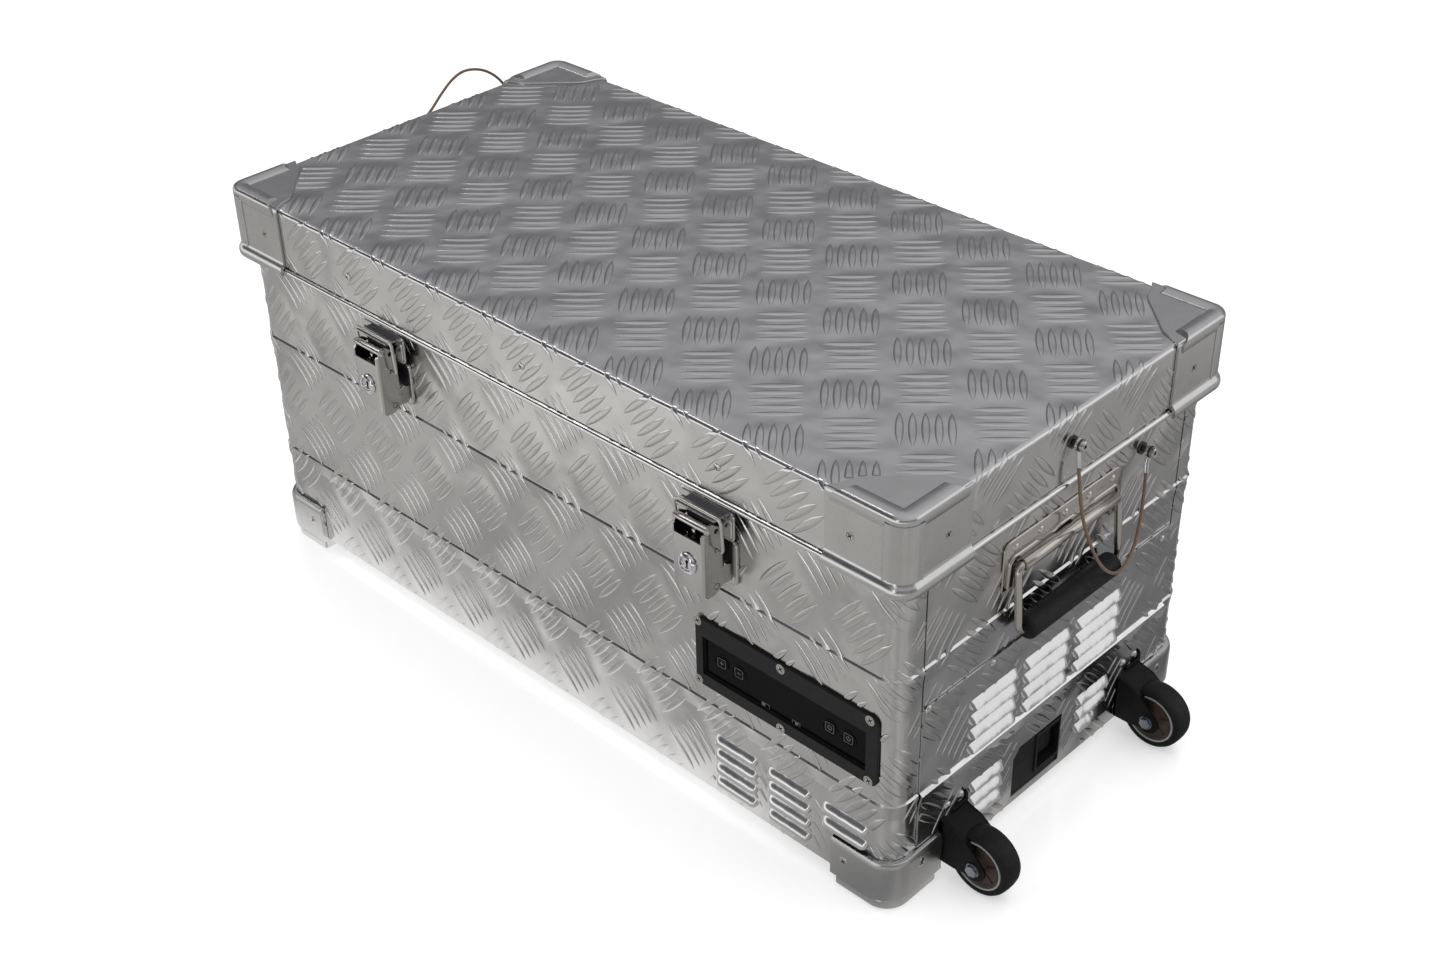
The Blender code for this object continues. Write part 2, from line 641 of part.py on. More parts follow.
# ---- handles -----------------------------------------------------------------------------
def handle(side):
    px, pz = HANDLE_PIVOT
    gx, gz = GRIP_CENTRE
    half = HANDLE_HALF
    wall = BODY_X + GAP
    outline = [(-77, 255), (-63, 255), (-60, 270), (60, 270), (63, 255), (77, 255), (77, 287), (70, 294),
               (-70, 294), (-77, 287)]
    plate = add("handle_plate_" + side, to_end(prism(outline, wall, wall + 1.8, "x"), side), "stainless")
    for low, high in ((-58, -18), (18, 58)):
        barrel = rod((px, low, pz), (px, high, pz), 5.7, 14)
        bore = rod((px, low - 4, pz), (px, high + 4, pz), 3.7, 12)
        join(plate, to_end(barrel, side))
        cut(plate, to_end(bore, side))

    corners = [(px, -24, pz), (px, -half, pz), (gx, -half, gz), (gx, half, gz), (px, half, pz),
               (px, 24, pz)]
    add("handle_bail_" + side, to_end(sweep(bent(corners, 7.0), 3.2, 10), side), "stainless")

    profile = [(10.0, -58), (10.5, -56), (10.5, 56), (10.0, 58), (3.6, 58), (3.6, -58)]
    add("handle_grip_" + side, to_end(turned(profile, (gx, 0, gz), "y", 20, True), side), "rubber")


# ---- castors -----------------------------------------------------------------------------
def castor(place, y):
    ax, az = WHEEL_AXIS
    wall = BODY_X + GAP + 1.5 + GAP
    outline = [(wall, 18.5), (411, 18.5)]
    outline += circle(11.0, 16, (ax, az), -125)[:9]
    outline += [(426, 47), (413, 57.5), (wall, 62)]
    body = prism(zx(outline), y - FORK_HALF, y + FORK_HALF, "y")
    bracket = add("castor_bracket_" + place, body, "black_steel")
    inner = FORK_HALF - FORK_SHEET
    cut(bracket, block((wall + FORK_SHEET, y - inner, 0), (ax + 30, y + inner, 80)))
    join(bracket, rod((ax, y - FORK_HALF - 0.1, az), (ax, y + FORK_HALF + 0.1, az), 3.0, 12))
    for sign in (-1, 1):
        head = y + sign * FORK_HALF
        low, high = sorted((head, head + sign * 3.4))
        hexagon = zx(circle(5.6, 6, (ax, az), 15))
        join(bracket, prism(list(reversed(hexagon)), low, high, "y"))

    tread = [(21.2, -10.4), (24.5, -WHEEL_HALF), (27.2, -WHEEL_HALF + 1.2), (28.9, -WHEEL_HALF + 4.5),
             (WHEEL_R, 0.0)]
    outline = tread + [(r, -h) for r, h in reversed(tread[:-1])]
    add("wheel_tyre_" + place, turned(outline, (ax, y, az), "y", 36, True), "rubber")

    hub = [(3.4, -12.4), (8.0, -12.4), (8.4, -10.4), (18.5, -9.4), (20.9, -10.2)]
    outline = hub + [(r, -h) for r, h in reversed(hub)]
    add("wheel_hub_" + place, turned(outline, (ax, y, az), "y", 36, True), "hub_brown")


# ---- lid stays ---------------------------------------------------------------------------
# Hand-placed route of the castor end's stay, from the lid stud down and round to the body stud.
STAY_RIGHT = (
    (406.2, -6.5, 352.0), (407.5, -6.3, 340.0), (409.5, -5.0, 320.0), (412.5, -1.5, 292.0),
    (416.5, 8.0, 262.0), (419.2, 22.0, 236.5), (420.0, 40.0, 220.0), (418.5, 58.0, 217.0),
    (415.0, 75.0, 225.5), (410.5, 87.5, 243.0), (406.0, 96.0, 266.0), (401.9, 101.5, 285.0),
    (401.0, 104.2, 291.2),
)
# The other end's stay stands out from its wall in a wide springy loop above its studs.
STAY_LEFT = (
    (-406.2, -1.0, 359.5), (-410.1, 20.8, 363.9), (-421.7, 48.8, 370.4), (-431.2, 71.2, 378.5),
    (-440.1, 93.2, 384.5), (-446.7, 113.1, 385.7), (-449.5, 131.5, 382.0), (-449.1, 147.3, 374.7),
    (-444.6, 159.5, 362.8), (-436.0, 164.3, 347.0), (-424.5, 159.2, 330.5), (-413.2, 143.8, 314.3),
    (-404.4, 123.3, 301.8), (-401.8, 112.5, 298.2),
)


def lid_stays():
    add("lid_stay_right", sweep(smooth_path(STAY_RIGHT, 4), STAY_R, 8), "wire_rope")
    add("lid_stay_left", sweep(smooth_path(STAY_LEFT, 4), STAY_R, 8), "wire_rope")


# ---- pivots ------------------------------------------------------------------------------
def carry(name, place, pieces, parent=None):
    """Put an empty on a joint's axis and hang the joint's pieces on it where they stand."""
    empty = bpy.data.objects.new(name, None)
    empty.empty_display_size = 0.02
    bpy.context.scene.collection.objects.link(empty)
    empty.location = Vector(place) * MM
    for piece in pieces:
        obj = bpy.data.objects[piece]
        obj.parent = empty
        obj.location = -empty.location
    if parent:
        empty.location -= parent.location
        empty.parent = parent
    return empty


def pivots():
    lid = ["lid_skin", "lid_rim", "lid_liner", "lid_gasket"]
    lid += ["lid_casting_" + corner for corner in CORNERS]
    lid += [kind + side for kind in ("hinge_lid_leaf_", "latch_keeper_") for side in ("left", "right")]
    carry("lid_hinge", (0, HINGE_Y, PART_Z), lid)
    for side, x in LATCH_CENTRES.items():
        lever = carry("latch_pivot_" + side, (x, *LATCH_PIVOT), ["latch_lever_" + side])
        carry("bail_pivot_" + side, (x, *BAIL_PIVOT), ["latch_bail_" + side], lever)
        carry("lock_pivot_" + side, (x, LATCH_PIVOT[0], LOCK_Z), ["lock_barrel_" + side], lever)
    for side, sign in (("left", -1), ("right", 1)):
        place = (sign * HANDLE_PIVOT[0], 0, HANDLE_PIVOT[1])
        carry("handle_pivot_" + side, place, ["handle_bail_" + side, "handle_grip_" + side])
    for place, y in (("front", -CASTOR_Y), ("rear", CASTOR_Y)):
        axle = (WHEEL_AXIS[0], y, WHEEL_AXIS[1])
        carry("axle_" + place, axle, ["wheel_tyre_" + place, "wheel_hub_" + place])
    for name, x in BUTTONS.items():
        carry("press_" + name, (x, -BODY_Y, BUTTON_Z), ["button_" + name])
    carry("fan_axis", FAN_CENTRE, ["fan_rotor"])


def main():
    clear_scene()
    outer_shell()
    body_rim()
    liner_tub()
    insulation()
    bay_bulkhead()
    baskets()
    service_cover()
    inlet_plate()
    control_panel()
    machine_bay()
    bottom_castings()
    lid_castings()
    lid()
    hinges()
    for side, x in LATCH_CENTRES.items():
        latch(side, x)
    for side in ("left", "right"):
        handle(side)
    for place, y in (("front", -CASTOR_Y), ("rear", CASTOR_Y)):
        castor(place, y)
    lid_stays()
    pivots()


main()
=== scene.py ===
"""Shapes are drawn in millimetres in the frame's own axes (+X to the castor end, -Y to the latches)
and turned into metres when a mesh is made.
"""

import json
import math

import bmesh
import bpy
from mathutils import Matrix, Vector


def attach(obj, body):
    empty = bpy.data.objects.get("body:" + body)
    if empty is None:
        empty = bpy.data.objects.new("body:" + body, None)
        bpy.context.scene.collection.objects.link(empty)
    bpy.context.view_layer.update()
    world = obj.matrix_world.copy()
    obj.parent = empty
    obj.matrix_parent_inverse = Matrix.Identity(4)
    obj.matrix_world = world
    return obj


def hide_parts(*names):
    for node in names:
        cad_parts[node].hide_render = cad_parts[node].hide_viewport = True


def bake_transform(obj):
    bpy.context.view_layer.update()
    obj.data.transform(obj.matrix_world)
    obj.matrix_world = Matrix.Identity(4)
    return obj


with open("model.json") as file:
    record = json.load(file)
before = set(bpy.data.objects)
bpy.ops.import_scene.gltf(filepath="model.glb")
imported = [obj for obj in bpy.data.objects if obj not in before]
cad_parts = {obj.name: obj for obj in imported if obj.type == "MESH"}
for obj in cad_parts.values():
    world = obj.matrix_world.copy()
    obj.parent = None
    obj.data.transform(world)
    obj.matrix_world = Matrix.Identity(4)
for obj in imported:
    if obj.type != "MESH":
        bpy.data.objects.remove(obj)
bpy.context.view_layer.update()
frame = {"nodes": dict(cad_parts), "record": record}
MM = 0.001

# Sizes of the CAD model that the pieces below are drawn to (mm).
LID_X, LID_Y, LID_TOP = 400.0, 202.0, 382.0
LID_R, LID_FOLD = 12.0, 4.0
RIM_LOW, RIM_TOP = 317.3, 323.5
BODY_X, BODY_Y, BODY_R = 394.0, 196.0, 18.0
BODY_LOW, BODY_HIGH = 12.0, 316.4
SWAGES = (108.5, 232.5)
SWAGE_OUT, SWAGE_TALL, SWAGE_LEDGE = 1.6, 16.0, 1.6
HINGE_Y, HINGE_Z, HINGE_X, HINGE_HALF = 215.5, 317.0, 250.0, 35.0
LATCH_X = {"left": -185.0, "right": 210.0}
LEVER_PIN = (-212.0, 248.0)
BAIL_PIN = (-212.0, 282.0)
LOCK_Z = 269.4
HANDLE_PIN = (401.5, 274.0)
GRIP = (406.5, 214.0)
CASTOR_Y = 121.0
AXLE = (430.0, 29.8)
PANEL, PANEL_HALF = (283.5, 158.8), (96.0, 34.0)
WINDOW, WINDOW_HALF = (281.7, 155.8), (86.5, 19.7)
BUTTONS = {"plus": 214.5, "minus": 233.5, "settings": 329.5, "power": 348.5}
BUTTON_Z = 156.0
COVER_Y, COVER_TOP, COVER_FACE = 166.0, 192.0, 395.8
BODY_STUD, LID_STUD = (105.0, 296.0), (-6.0, 357.0)
ZONES = {"large": (-352.0, -52.0), "small": (-28.0, 146.0)}
ZONE_Y, ZONE_FLOOR = 154.0, 58.0
LOUVRE_PITCH = 15.0
FRONT_LOUVRES = ((208.0, 250.0, 73.0, 4), (267.0, 308.0, 73.0, 4), (326.0, 368.0, 73.0, 2))
END_LOUVRES = ((-106.0, -50.0, 160.0, 4), (-37.0, 20.0, 160.0, 4), (33.0, 92.0, 160.0, 4),
               (-100.0, -60.0, 71.0, 3), (45.0, 87.0, 71.0, 3))
ENDS = (("right", 1), ("left", -1))


# ---- shader nodes -----------------------------------------------------------------------
class Net:
    """Short ways to add nodes to the tree of a material or of the world."""

    def __init__(self, tree):
        self.nodes, self.links = tree.nodes, tree.links

    def feed(self, socket, value):
        """Link an output to a socket, or set a number or a colour on it."""
        if isinstance(value, bpy.types.NodeSocket):
            self.links.new(value, socket)
        else:
            socket.default_value = (*value, 1) if isinstance(value, tuple) else value

    def split(self, vector):
        node = self.nodes.new("ShaderNodeSeparateXYZ")
        self.links.new(vector, node.inputs["Vector"])
        return node.outputs

    def maths(self, operation, *values):
        node = self.nodes.new("ShaderNodeMath")
        node.operation = operation
        for socket, value in zip(node.inputs, values):
            self.feed(socket, value)
        return node.outputs["Value"]

    def vector(self, operation, source, other):
        node = self.nodes.new("ShaderNodeVectorMath")
        node.operation = operation
        node.inputs[1].default_value = other
        self.links.new(source, node.inputs[0])
        return node.outputs["Vector" if operation == "MULTIPLY" else "Value"]

    def ranged(self, source, start, end):
        """1 at start, falling to 0 at end."""
        span = self.nodes.new("ShaderNodeMapRange")
        for socket, value in zip(("From Min", "From Max", "To Min", "To Max"), (start, end, 1.0, 0.0)):
            span.inputs[socket].default_value = value
        self.links.new(source, span.inputs["Value"])
        return span.outputs["Result"]

    def ramp(self, source, stops, blend="LINEAR"):
        node = self.nodes.new("ShaderNodeValToRGB")
        node.color_ramp.interpolation = blend
        while len(node.color_ramp.elements) < len(stops):
            node.color_ramp.elements.new(0.5)
        for element, (place, colour) in zip(node.color_ramp.elements, stops):
            element.position, element.color = place, (*colour, 1)
        self.links.new(source, node.inputs["Fac"])
        return node.outputs["Color"]

    def blended(self, kind, factor, first, second):
        mix = self.nodes.new("ShaderNodeMix")
        mix.data_type, mix.blend_type = "RGBA", kind
        for socket, value in (("Factor", factor), ("A", first), ("B", second)):
            self.feed(mix.inputs[socket], value)
        return mix.outputs["Result"]


# ---- materials --------------------------------------------------------------------------
def shade(name, colour, rough, metal=0.0, tone=0.05, tone_size=90, grit=0.03,
          wave=None, scratch=None, coat=0.0, spec=0.5, pillow=None):
    """A procedural surface: mottled tone and roughness, soft waves and fine scratches.

    Sizes are in mm.  wave and scratch are (size, depth, stretch); pillow names the sheet whose
    quintets stand on low pads, PADS[pillow]."""
    made = bpy.data.materials.new(name)
    made.use_nodes = True
    net = Net(made.node_tree)
    nodes, links, maths = net.nodes, net.links, net.maths
    shader = nodes["Principled BSDF"]
    shader.inputs["Metallic"].default_value = metal
    shader.inputs["Coat Weight"].default_value = coat
    shader.inputs["Specular IOR Level"].default_value = spec
    where = nodes.new("ShaderNodeTexCoord").outputs["Object"]

    def noise(size, detail=3.0, stretch=None):
        source = where
        if stretch:
            mapping = nodes.new("ShaderNodeMapping")
            mapping.inputs["Scale"].default_value = stretch
            links.new(where, mapping.inputs["Vector"])
            source = mapping.outputs["Vector"]
        field = nodes.new("ShaderNodeTexNoise")
        field.inputs["Scale"].default_value = 1000.0 / size
        field.inputs["Detail"].default_value = detail
        links.new(source, field.inputs["Vector"])
        return field.outputs["Fac"]

    def spread(source, low, high):
        ranged = nodes.new("ShaderNodeMapRange")
        ranged.inputs["From Min"].default_value = 0.3
        ranged.inputs["From Max"].default_value = 0.7
        ranged.inputs["To Min"].default_value = low
        ranged.inputs["To Max"].default_value = high
        links.new(source, ranged.inputs["Value"])
        return ranged.outputs["Result"]

    ramp = nodes.new("ShaderNodeValToRGB")
    ramp.color_ramp.elements[0].position = 0.3
    ramp.color_ramp.elements[1].position = 0.7
    for element, factor in zip(ramp.color_ramp.elements, (1.0 - tone, 1.0 + tone)):
        element.color = (*[min(1.0, c * factor) for c in colour], 1.0)
    links.new(noise(tone_size), ramp.inputs["Fac"])
    links.new(ramp.outputs["Color"], shader.inputs["Base Color"])
    links.new(spread(noise(tone_size * 0.37, 4.0), rough - grit, rough + grit), shader.inputs["Roughness"])

    def pads(across, up, start, pitch):
        """1 on the pads under the quintets, falling to 0 in the narrow valleys between them."""
        a, b = (maths("MULTIPLY_ADD", field, math.pi / pitch[n] / MM, -math.pi * start[n] / pitch[n])
                for n, field in ((0, across), (1, up)))
        height = 1.0
        for turned_by in (maths("ADD", a, b), maths("SUBTRACT", a, b)):
            wave_of = maths("SINE", turned_by)
            valley = maths("POWER", maths("MULTIPLY", wave_of, wave_of), 2.0)
            height = maths("MULTIPLY", maths("SUBTRACT", 1.0, valley), height)
        return height

    fields = [(noise(size, 1.5, stretch), depth) for size, depth, stretch in filter(None, (wave, scratch))]
    if pillow:
        x, y, z = net.split(where)
        if pillow == "lid":
            height = pads(x, y, *PADS["lid"])
        else:
            facing = net.split(nodes.new("ShaderNodeTexCoord").outputs["Normal"])
            long_side = maths("GREATER_THAN", maths("ABSOLUTE", facing["Y"]), 0.7)
            height = maths("ADD", maths("MULTIPLY", long_side, pads(x, z, *PADS["long"])),
                           maths("MULTIPLY", maths("SUBTRACT", 1.0, long_side), pads(y, z, *PADS["end"])))
        fields.append((height, PAD_TALL[pillow]))

    normal = None
    for height, depth in fields:
        bump = nodes.new("ShaderNodeBump")
        bump.inputs["Distance"].default_value = depth * MM
        links.new(height, bump.inputs["Height"])
        if normal:
            links.new(normal, bump.inputs["Normal"])
        normal = bump.outputs["Normal"]
    if normal:
        links.new(normal, shader.inputs["Normal"])
    return made


# Each sheet's (first quintet's centre, pitches) for the low pads that the quintets stand on.
PADS = {"lid": ((40.1, -12.0), (73.2, 86.1)), "long": ((-2.2, 263.0), (72.0, 85.0)),
        "end": ((-108.0, 217.0), (84.0, 72.0))}
PAD_TALL = {"lid": 0.5, "body": 0.9}
EVEN = (1, 1, 1)
ROLLED = ((0.62, 0.614, 0.605), 0.2, 1.0, 0.03, 160, 0.04, (42, 1.8, EVEN), (8, 0.02, EVEN))
LID_SHEET = shade("rolled_aluminium_lid", *ROLLED, pillow="lid")
BAR = shade("rolled_aluminium_bar", (0.60, 0.594, 0.585), 0.2, 1.0, 0.04, 30, 0.05, (42, 1.8, EVEN))
LOOKS = {
    "tread_plate": shade("rolled_aluminium", *ROLLED, pillow="body"),
    "cast_aluminium": shade("cast_aluminium", (0.56, 0.557, 0.548), 0.25, 1.0, 0.04, 40, 0.04,
                            wave=(25, 0.25, EVEN), scratch=(3, 0.008, EVEN)),
    "extruded_aluminium": shade("extruded_aluminium", (0.70, 0.695, 0.68), 0.15, 1.0, 0.03, 80, 0.03,
                                scratch=(4, 0.01, (1, 1, 8))),
    "steel": shade("plated_steel", (0.54, 0.535, 0.52), 0.2, 1.0, 0.04, 30, 0.04,
                   scratch=(5, 0.006, EVEN)),
    "stainless": shade("stainless_steel", (0.50, 0.475, 0.44), 0.2, 1.0, 0.05, 30, 0.04,
                       scratch=(1.5, 0.006, (1, 0.1, 1))),
    "black_plastic": shade("black_abs", (0.008, 0.008, 0.0085), 0.45, 0.0, 0.15, 20, 0.06,
                           scratch=(0.7, 0.03, EVEN), spec=0.22),
    "window": shade("smoked_acrylic", (0.003, 0.003, 0.0035), 0.12, 0.0, 0.1, 40, 0.02, spec=0.06),
    "black_steel": shade("black_enamel", (0.004, 0.004, 0.0045), 0.5, 0.0, 0.2, 12, 0.08,
                         scratch=(1.2, 0.05, EVEN), spec=0.2),
    "rubber": shade("black_rubber", (0.006, 0.006, 0.006), 0.55, 0.0, 0.2, 15, 0.08,
                    scratch=(0.6, 0.04, EVEN), spec=0.28),
    "hub_brown": shade("brown_nylon", (0.050, 0.031, 0.021), 0.45, 0.0, 0.2, 12, 0.08,
                       scratch=(1.0, 0.04, EVEN)),
    "liner": shade("liner_plastic", (0.66, 0.67, 0.68), 0.38, 0.0, 0.03, 50, 0.05,
                   scratch=(2.0, 0.05, EVEN)),
    "foam": shade("foam", (0.80, 0.72, 0.45), 0.9, 0.0, 0.08, 8, 0.05, scratch=(2.0, 0.4, EVEN)),
    "wire_rope": shade("coated_rope", (0.15, 0.095, 0.06), 0.42, 0.0, 0.1, 6, 0.06),
}
HOOD = shade("pressed_hood", (0.66, 0.655, 0.65), 0.15, 1.0, 0.03, 60, 0.03, (14, 0.6, (1, 1, 0.3)))
DARK_STEEL = shade("dark_washer", (0.10, 0.095, 0.09), 0.4, 1.0, 0.1, 8, 0.06)
CHROME = shade("chrome", (0.72, 0.72, 0.73), 0.06, 1.0, 0.03, 20, 0.02, scratch=(3, 0.003, EVEN))
SCREW = shade("screw_steel", (0.62, 0.60, 0.56), 0.2, 1.0, 0.06, 6, 0.05)
ZINC = shade("blue_zinc", (0.42, 0.47, 0.52), 0.28, 1.0, 0.08, 6, 0.05)
GREY_RING = shade("grey_insert", (0.30, 0.32, 0.31), 0.5, 0.0, 0.08, 10, 0.05)
# Flat black painted as the shade in slots, gaps, seams and recesses.
SHADOW = shade("painted_recess_shade", (0.006, 0.006, 0.006), 0.7, 0.0, 0.2, 6, 0.05)
MARK = shade("printed_mark", (0.16, 0.17, 0.18), 0.5, 0.0, 0.1, 4, 0.05)
for row in frame["record"]["subparts"]:
    piece = frame["nodes"][row["node"]]
    piece.data.materials.clear()
    piece.data.materials.append(LOOKS[row["material_slot"]])


# ---- mesh helpers -----------------------------------------------------------------------
def put(name, mesh, slot, body, look=None, stands_for=(), smooth=35.0, even=False):
    """Make an object of a mesh drawn in mm, ride it on a body and give it its finish."""
    bmesh.ops.remove_doubles(mesh, verts=mesh.verts, dist=1e-4)
    bmesh.ops.recalc_face_normals(mesh, faces=mesh.faces)
    bmesh.ops.scale(mesh, vec=(MM, MM, MM), verts=mesh.verts)
    data = bpy.data.meshes.new(name)
    mesh.to_mesh(data)
    mesh.free()
    data.shade_smooth()
    data.set_sharp_from_angle(angle=math.radians(smooth))
    obj = bpy.data.objects.new(name, data)
    bpy.context.scene.collection.objects.link(obj)
    data.materials.append(look or LOOKS[slot])
    if even:
        step = obj.modifiers.new("even", "WEIGHTED_NORMAL")
        step.keep_sharp = True
    if body:
        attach(obj, body)
    if stands_for:
        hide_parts(*stands_for)
    return obj


def merged(meshes):
    whole = bmesh.new()
    for mesh in meshes:
        data = bpy.data.meshes.new("gather")
        mesh.to_mesh(data)
        mesh.free()
        whole.from_mesh(data)
        bpy.data.meshes.remove(data)
    return whole


def carve(mesh, *tools, operation="DIFFERENCE"):
    """Cut meshes out of a mesh, or with INTERSECT keep only what is inside them."""
    objects = []
    for shape in (mesh, *tools):
        bmesh.ops.recalc_face_normals(shape, faces=shape.faces)
        data = bpy.data.meshes.new("carve")
        shape.to_mesh(data)
        shape.free()
        obj = bpy.data.objects.new("carve", data)
        bpy.context.scene.collection.objects.link(obj)
        objects.append(obj)
    for tool in objects[1:]:
        step = objects[0].modifiers.new("cut", "BOOLEAN")
        step.operation = operation
        step.solver = "EXACT"
        step.object = tool
    result = bmesh.new()
    result.from_object(objects[0], bpy.context.evaluated_depsgraph_get())
    for obj in objects:
        data = obj.data
        bpy.data.objects.remove(obj)
        bpy.data.meshes.remove(data)
    return result


def flip(mesh, x=1, y=1):
    bmesh.ops.scale(mesh, vec=(x, y, 1), verts=mesh.verts)
    return mesh


PLACE = {"x": lambda a, b, h: (h, a, b), "y": lambda a, b, h: (a, h, b), "z": lambda a, b, h: (a, b, h)}


def rounded(half_a, half_b, radius, steps=6, centre=(0.0, 0.0)):
    points = []
    radius = max(radius, 0.05)
    for sign_a, sign_b, start in ((1, 1, 0), (-1, 1, 90), (-1, -1, 180), (1, -1, 270)):
        for i in range(steps + 1):
            angle = math.radians(start + 90.0 * i / steps)
            points.append((centre[0] + sign_a * (half_a - radius) + radius * math.cos(angle),
                           centre[1] + sign_b * (half_b - radius) + radius * math.sin(angle)))
    return points


def circle(radius, steps, centre=(0.0, 0.0), start=0.0, turn=360.0):
    angles = [math.radians(start + turn * i / steps) for i in range(steps + (turn < 360.0))]
    return [(centre[0] + radius * math.cos(a), centre[1] + radius * math.sin(a)) for a in angles]


def loft(rings, closed=False):
    """Skin equal loops of points; capped at both ends, or joined end to end if closed."""
    mesh = bmesh.new()
    loops = [[mesh.verts.new(p) for p in ring] for ring in rings]
    pairs = list(zip(loops, loops[1:]))
    if closed:
        pairs.append((loops[-1], loops[0]))
    for lower, upper in pairs:
        for i in range(len(lower)):
            j = (i + 1) % len(lower)
            mesh.faces.new((lower[i], lower[j], upper[j], upper[i]))
    if not closed:
        mesh.faces.new(list(reversed(loops[0])))
        mesh.faces.new(loops[-1])
    return mesh


def wrap(profile, half_x, half_y, radius, closed=False, steps=10):
    """Carry an (offset, height) profile round a rounded rectangle."""
    return loft([[(x, y, height) for x, y in
                  rounded(half_x + offset, half_y + offset, radius + offset, steps)]
                 for offset, height in profile], closed)


def block(low, high):
    mesh = bmesh.new()
    size = [high[i] - low[i] for i in range(3)]
    centre = [(high[i] + low[i]) / 2 for i in range(3)]
    bmesh.ops.create_cube(mesh, size=1.0, matrix=Matrix.Translation(centre) @ Matrix.Diagonal((*size, 1.0)))
    return mesh


def prism(outline, low, high, axis="z"):
    """Extrude an outline along an axis.  It is in (x, y), (y, z) or (x, z), whichever is left."""
    return loft([[PLACE[axis](a, b, h) for a, b in outline] for h in (low, high)])


def inset(outline, depth):
    """Move every side of an outline in by depth."""
    area = sum(a[0] * b[1] - b[0] * a[1] for a, b in zip(outline, outline[1:] + outline[:1]))
    depth = math.copysign(depth, area)
    moved = []
    for i, here in enumerate(outline):
        before, after = outline[i - 1], outline[(i + 1) % len(outline)]
        sides = []
        for a, b in ((before, here), (here, after)):
            length = math.hypot(b[0] - a[0], b[1] - a[1]) or 1.0
            sides.append((-(b[1] - a[1]) / length, (b[0] - a[0]) / length))
        along = (sides[0][0] + sides[1][0], sides[0][1] + sides[1][1])
        share = 2.0 / max(0.6, along[0] ** 2 + along[1] ** 2)
        moved.append((here[0] + along[0] * depth * share, here[1] + along[1] * depth * share))
    return moved


def slab(outline, low, high, axis="z", bevel=0.4):
    """A plate of an outline with bevelled edges."""
    small = inset(outline, bevel)
    levels = ((small, low), (outline, low + bevel), (outline, high - bevel), (small, high))
    return loft([[PLACE[axis](a, b, h) for a, b in points] for points, h in levels])


def frame_slab(outer, inner, low, high, axis, bevel=0.4):
    """A bevelled plate with a hole; both outlines have as many points."""
    big = inset(inner, -bevel)
    levels = ((outer, low), (outer, high - bevel), (inset(outer, bevel), high), (big, high),
              (inner, high - bevel), (inner, low))
    if high < low:
        levels = ((outer, low), (outer, high + bevel), (inset(outer, bevel), high), (big, high),
                  (inner, high + bevel), (inner, low))
    return loft([[PLACE[axis](a, b, h) for a, b in points] for points, h in levels], True)


def turned(profile, centre, axis="z", steps=32, bored=False):
    """Turn (radius, height) points about an axis through centre."""
    mesh = loft([[PLACE[axis](a, b, height) for a, b in circle(radius, steps)]
                 for radius, height in profile], bored)
    bmesh.ops.translate(mesh, vec=centre, verts=mesh.verts)
    return mesh


def sweep(path, radius, steps=12, flat=1.0):
    """A round or flattened bar along a path; radius may be a list, one for each point."""
    points = [Vector(p) for p in path]
    radii = radius if isinstance(radius, list) else [radius] * len(points)
    side = None
    rings = []
    for i, point in enumerate(points):
        tangent = (points[min(i + 1, len(points) - 1)] - points[max(i - 1, 0)]).normalized()
        side = tangent.orthogonal() if side is None else side - tangent * side.dot(tangent)
        side.normalize()
        other = tangent.cross(side)
        rings.append([point + radii[i] * (math.cos(2 * math.pi * k / steps) * side
                                          + math.sin(2 * math.pi * k / steps) * other * flat)
                      for k in range(steps)])
    return loft(rings)


def rod(start, end, radius, steps=20, bevel=0.3):
    start, end = Vector(start), Vector(end)
    step = (end - start).normalized() * bevel
    return sweep([start, start + step, end - step, end], [radius - bevel, radius, radius, radius - bevel],
                 steps)


def bent(corners, radius, steps=6):
    """Round off the inner corners of a path."""
    points = [Vector(p) for p in corners]
    path = [points[0]]
    for before, corner, after in zip(points, points[1:], points[2:]):
        start = corner + (before - corner).normalized() * radius
        end = corner + (after - corner).normalized() * radius
        for i in range(steps + 1):
            t = i / steps
            path.append((1 - t) ** 2 * start + 2 * t * (1 - t) * corner + t * t * end)
    path.append(points[-1])
    return path


def smooth_path(points, per_span):
    """A Catmull-Rom curve through given points."""
    knots = [Vector(p) for p in points]
    knots = [2 * knots[0] - knots[1], *knots, 2 * knots[-1] - knots[-2]]
    path = []
    for a, b, c, d in zip(knots, knots[1:], knots[2:], knots[3:]):
        for i in range(per_span):
            t = i / per_span
            path.append(0.5 * (2 * b + (c - a) * t + (2 * a - 5 * b + 4 * c - d) * t * t
                               + (3 * b - a - 3 * c + d) * t ** 3))
    path.append(knots[-2])
    return path


def dome(place, axis, sign, radius, tall, steps=20):
    """A round head standing on a face; its axis points out of the face."""
    profile = [(radius * 0.98, -0.3 * sign)]
    profile += [(radius * math.cos(a), sign * tall * math.sin(a)) for a in
                [math.pi / 2 * i / 6 for i in range(6)]]
    profile.append((radius * 0.05, sign * tall))
    return turned(profile, place, axis, steps)


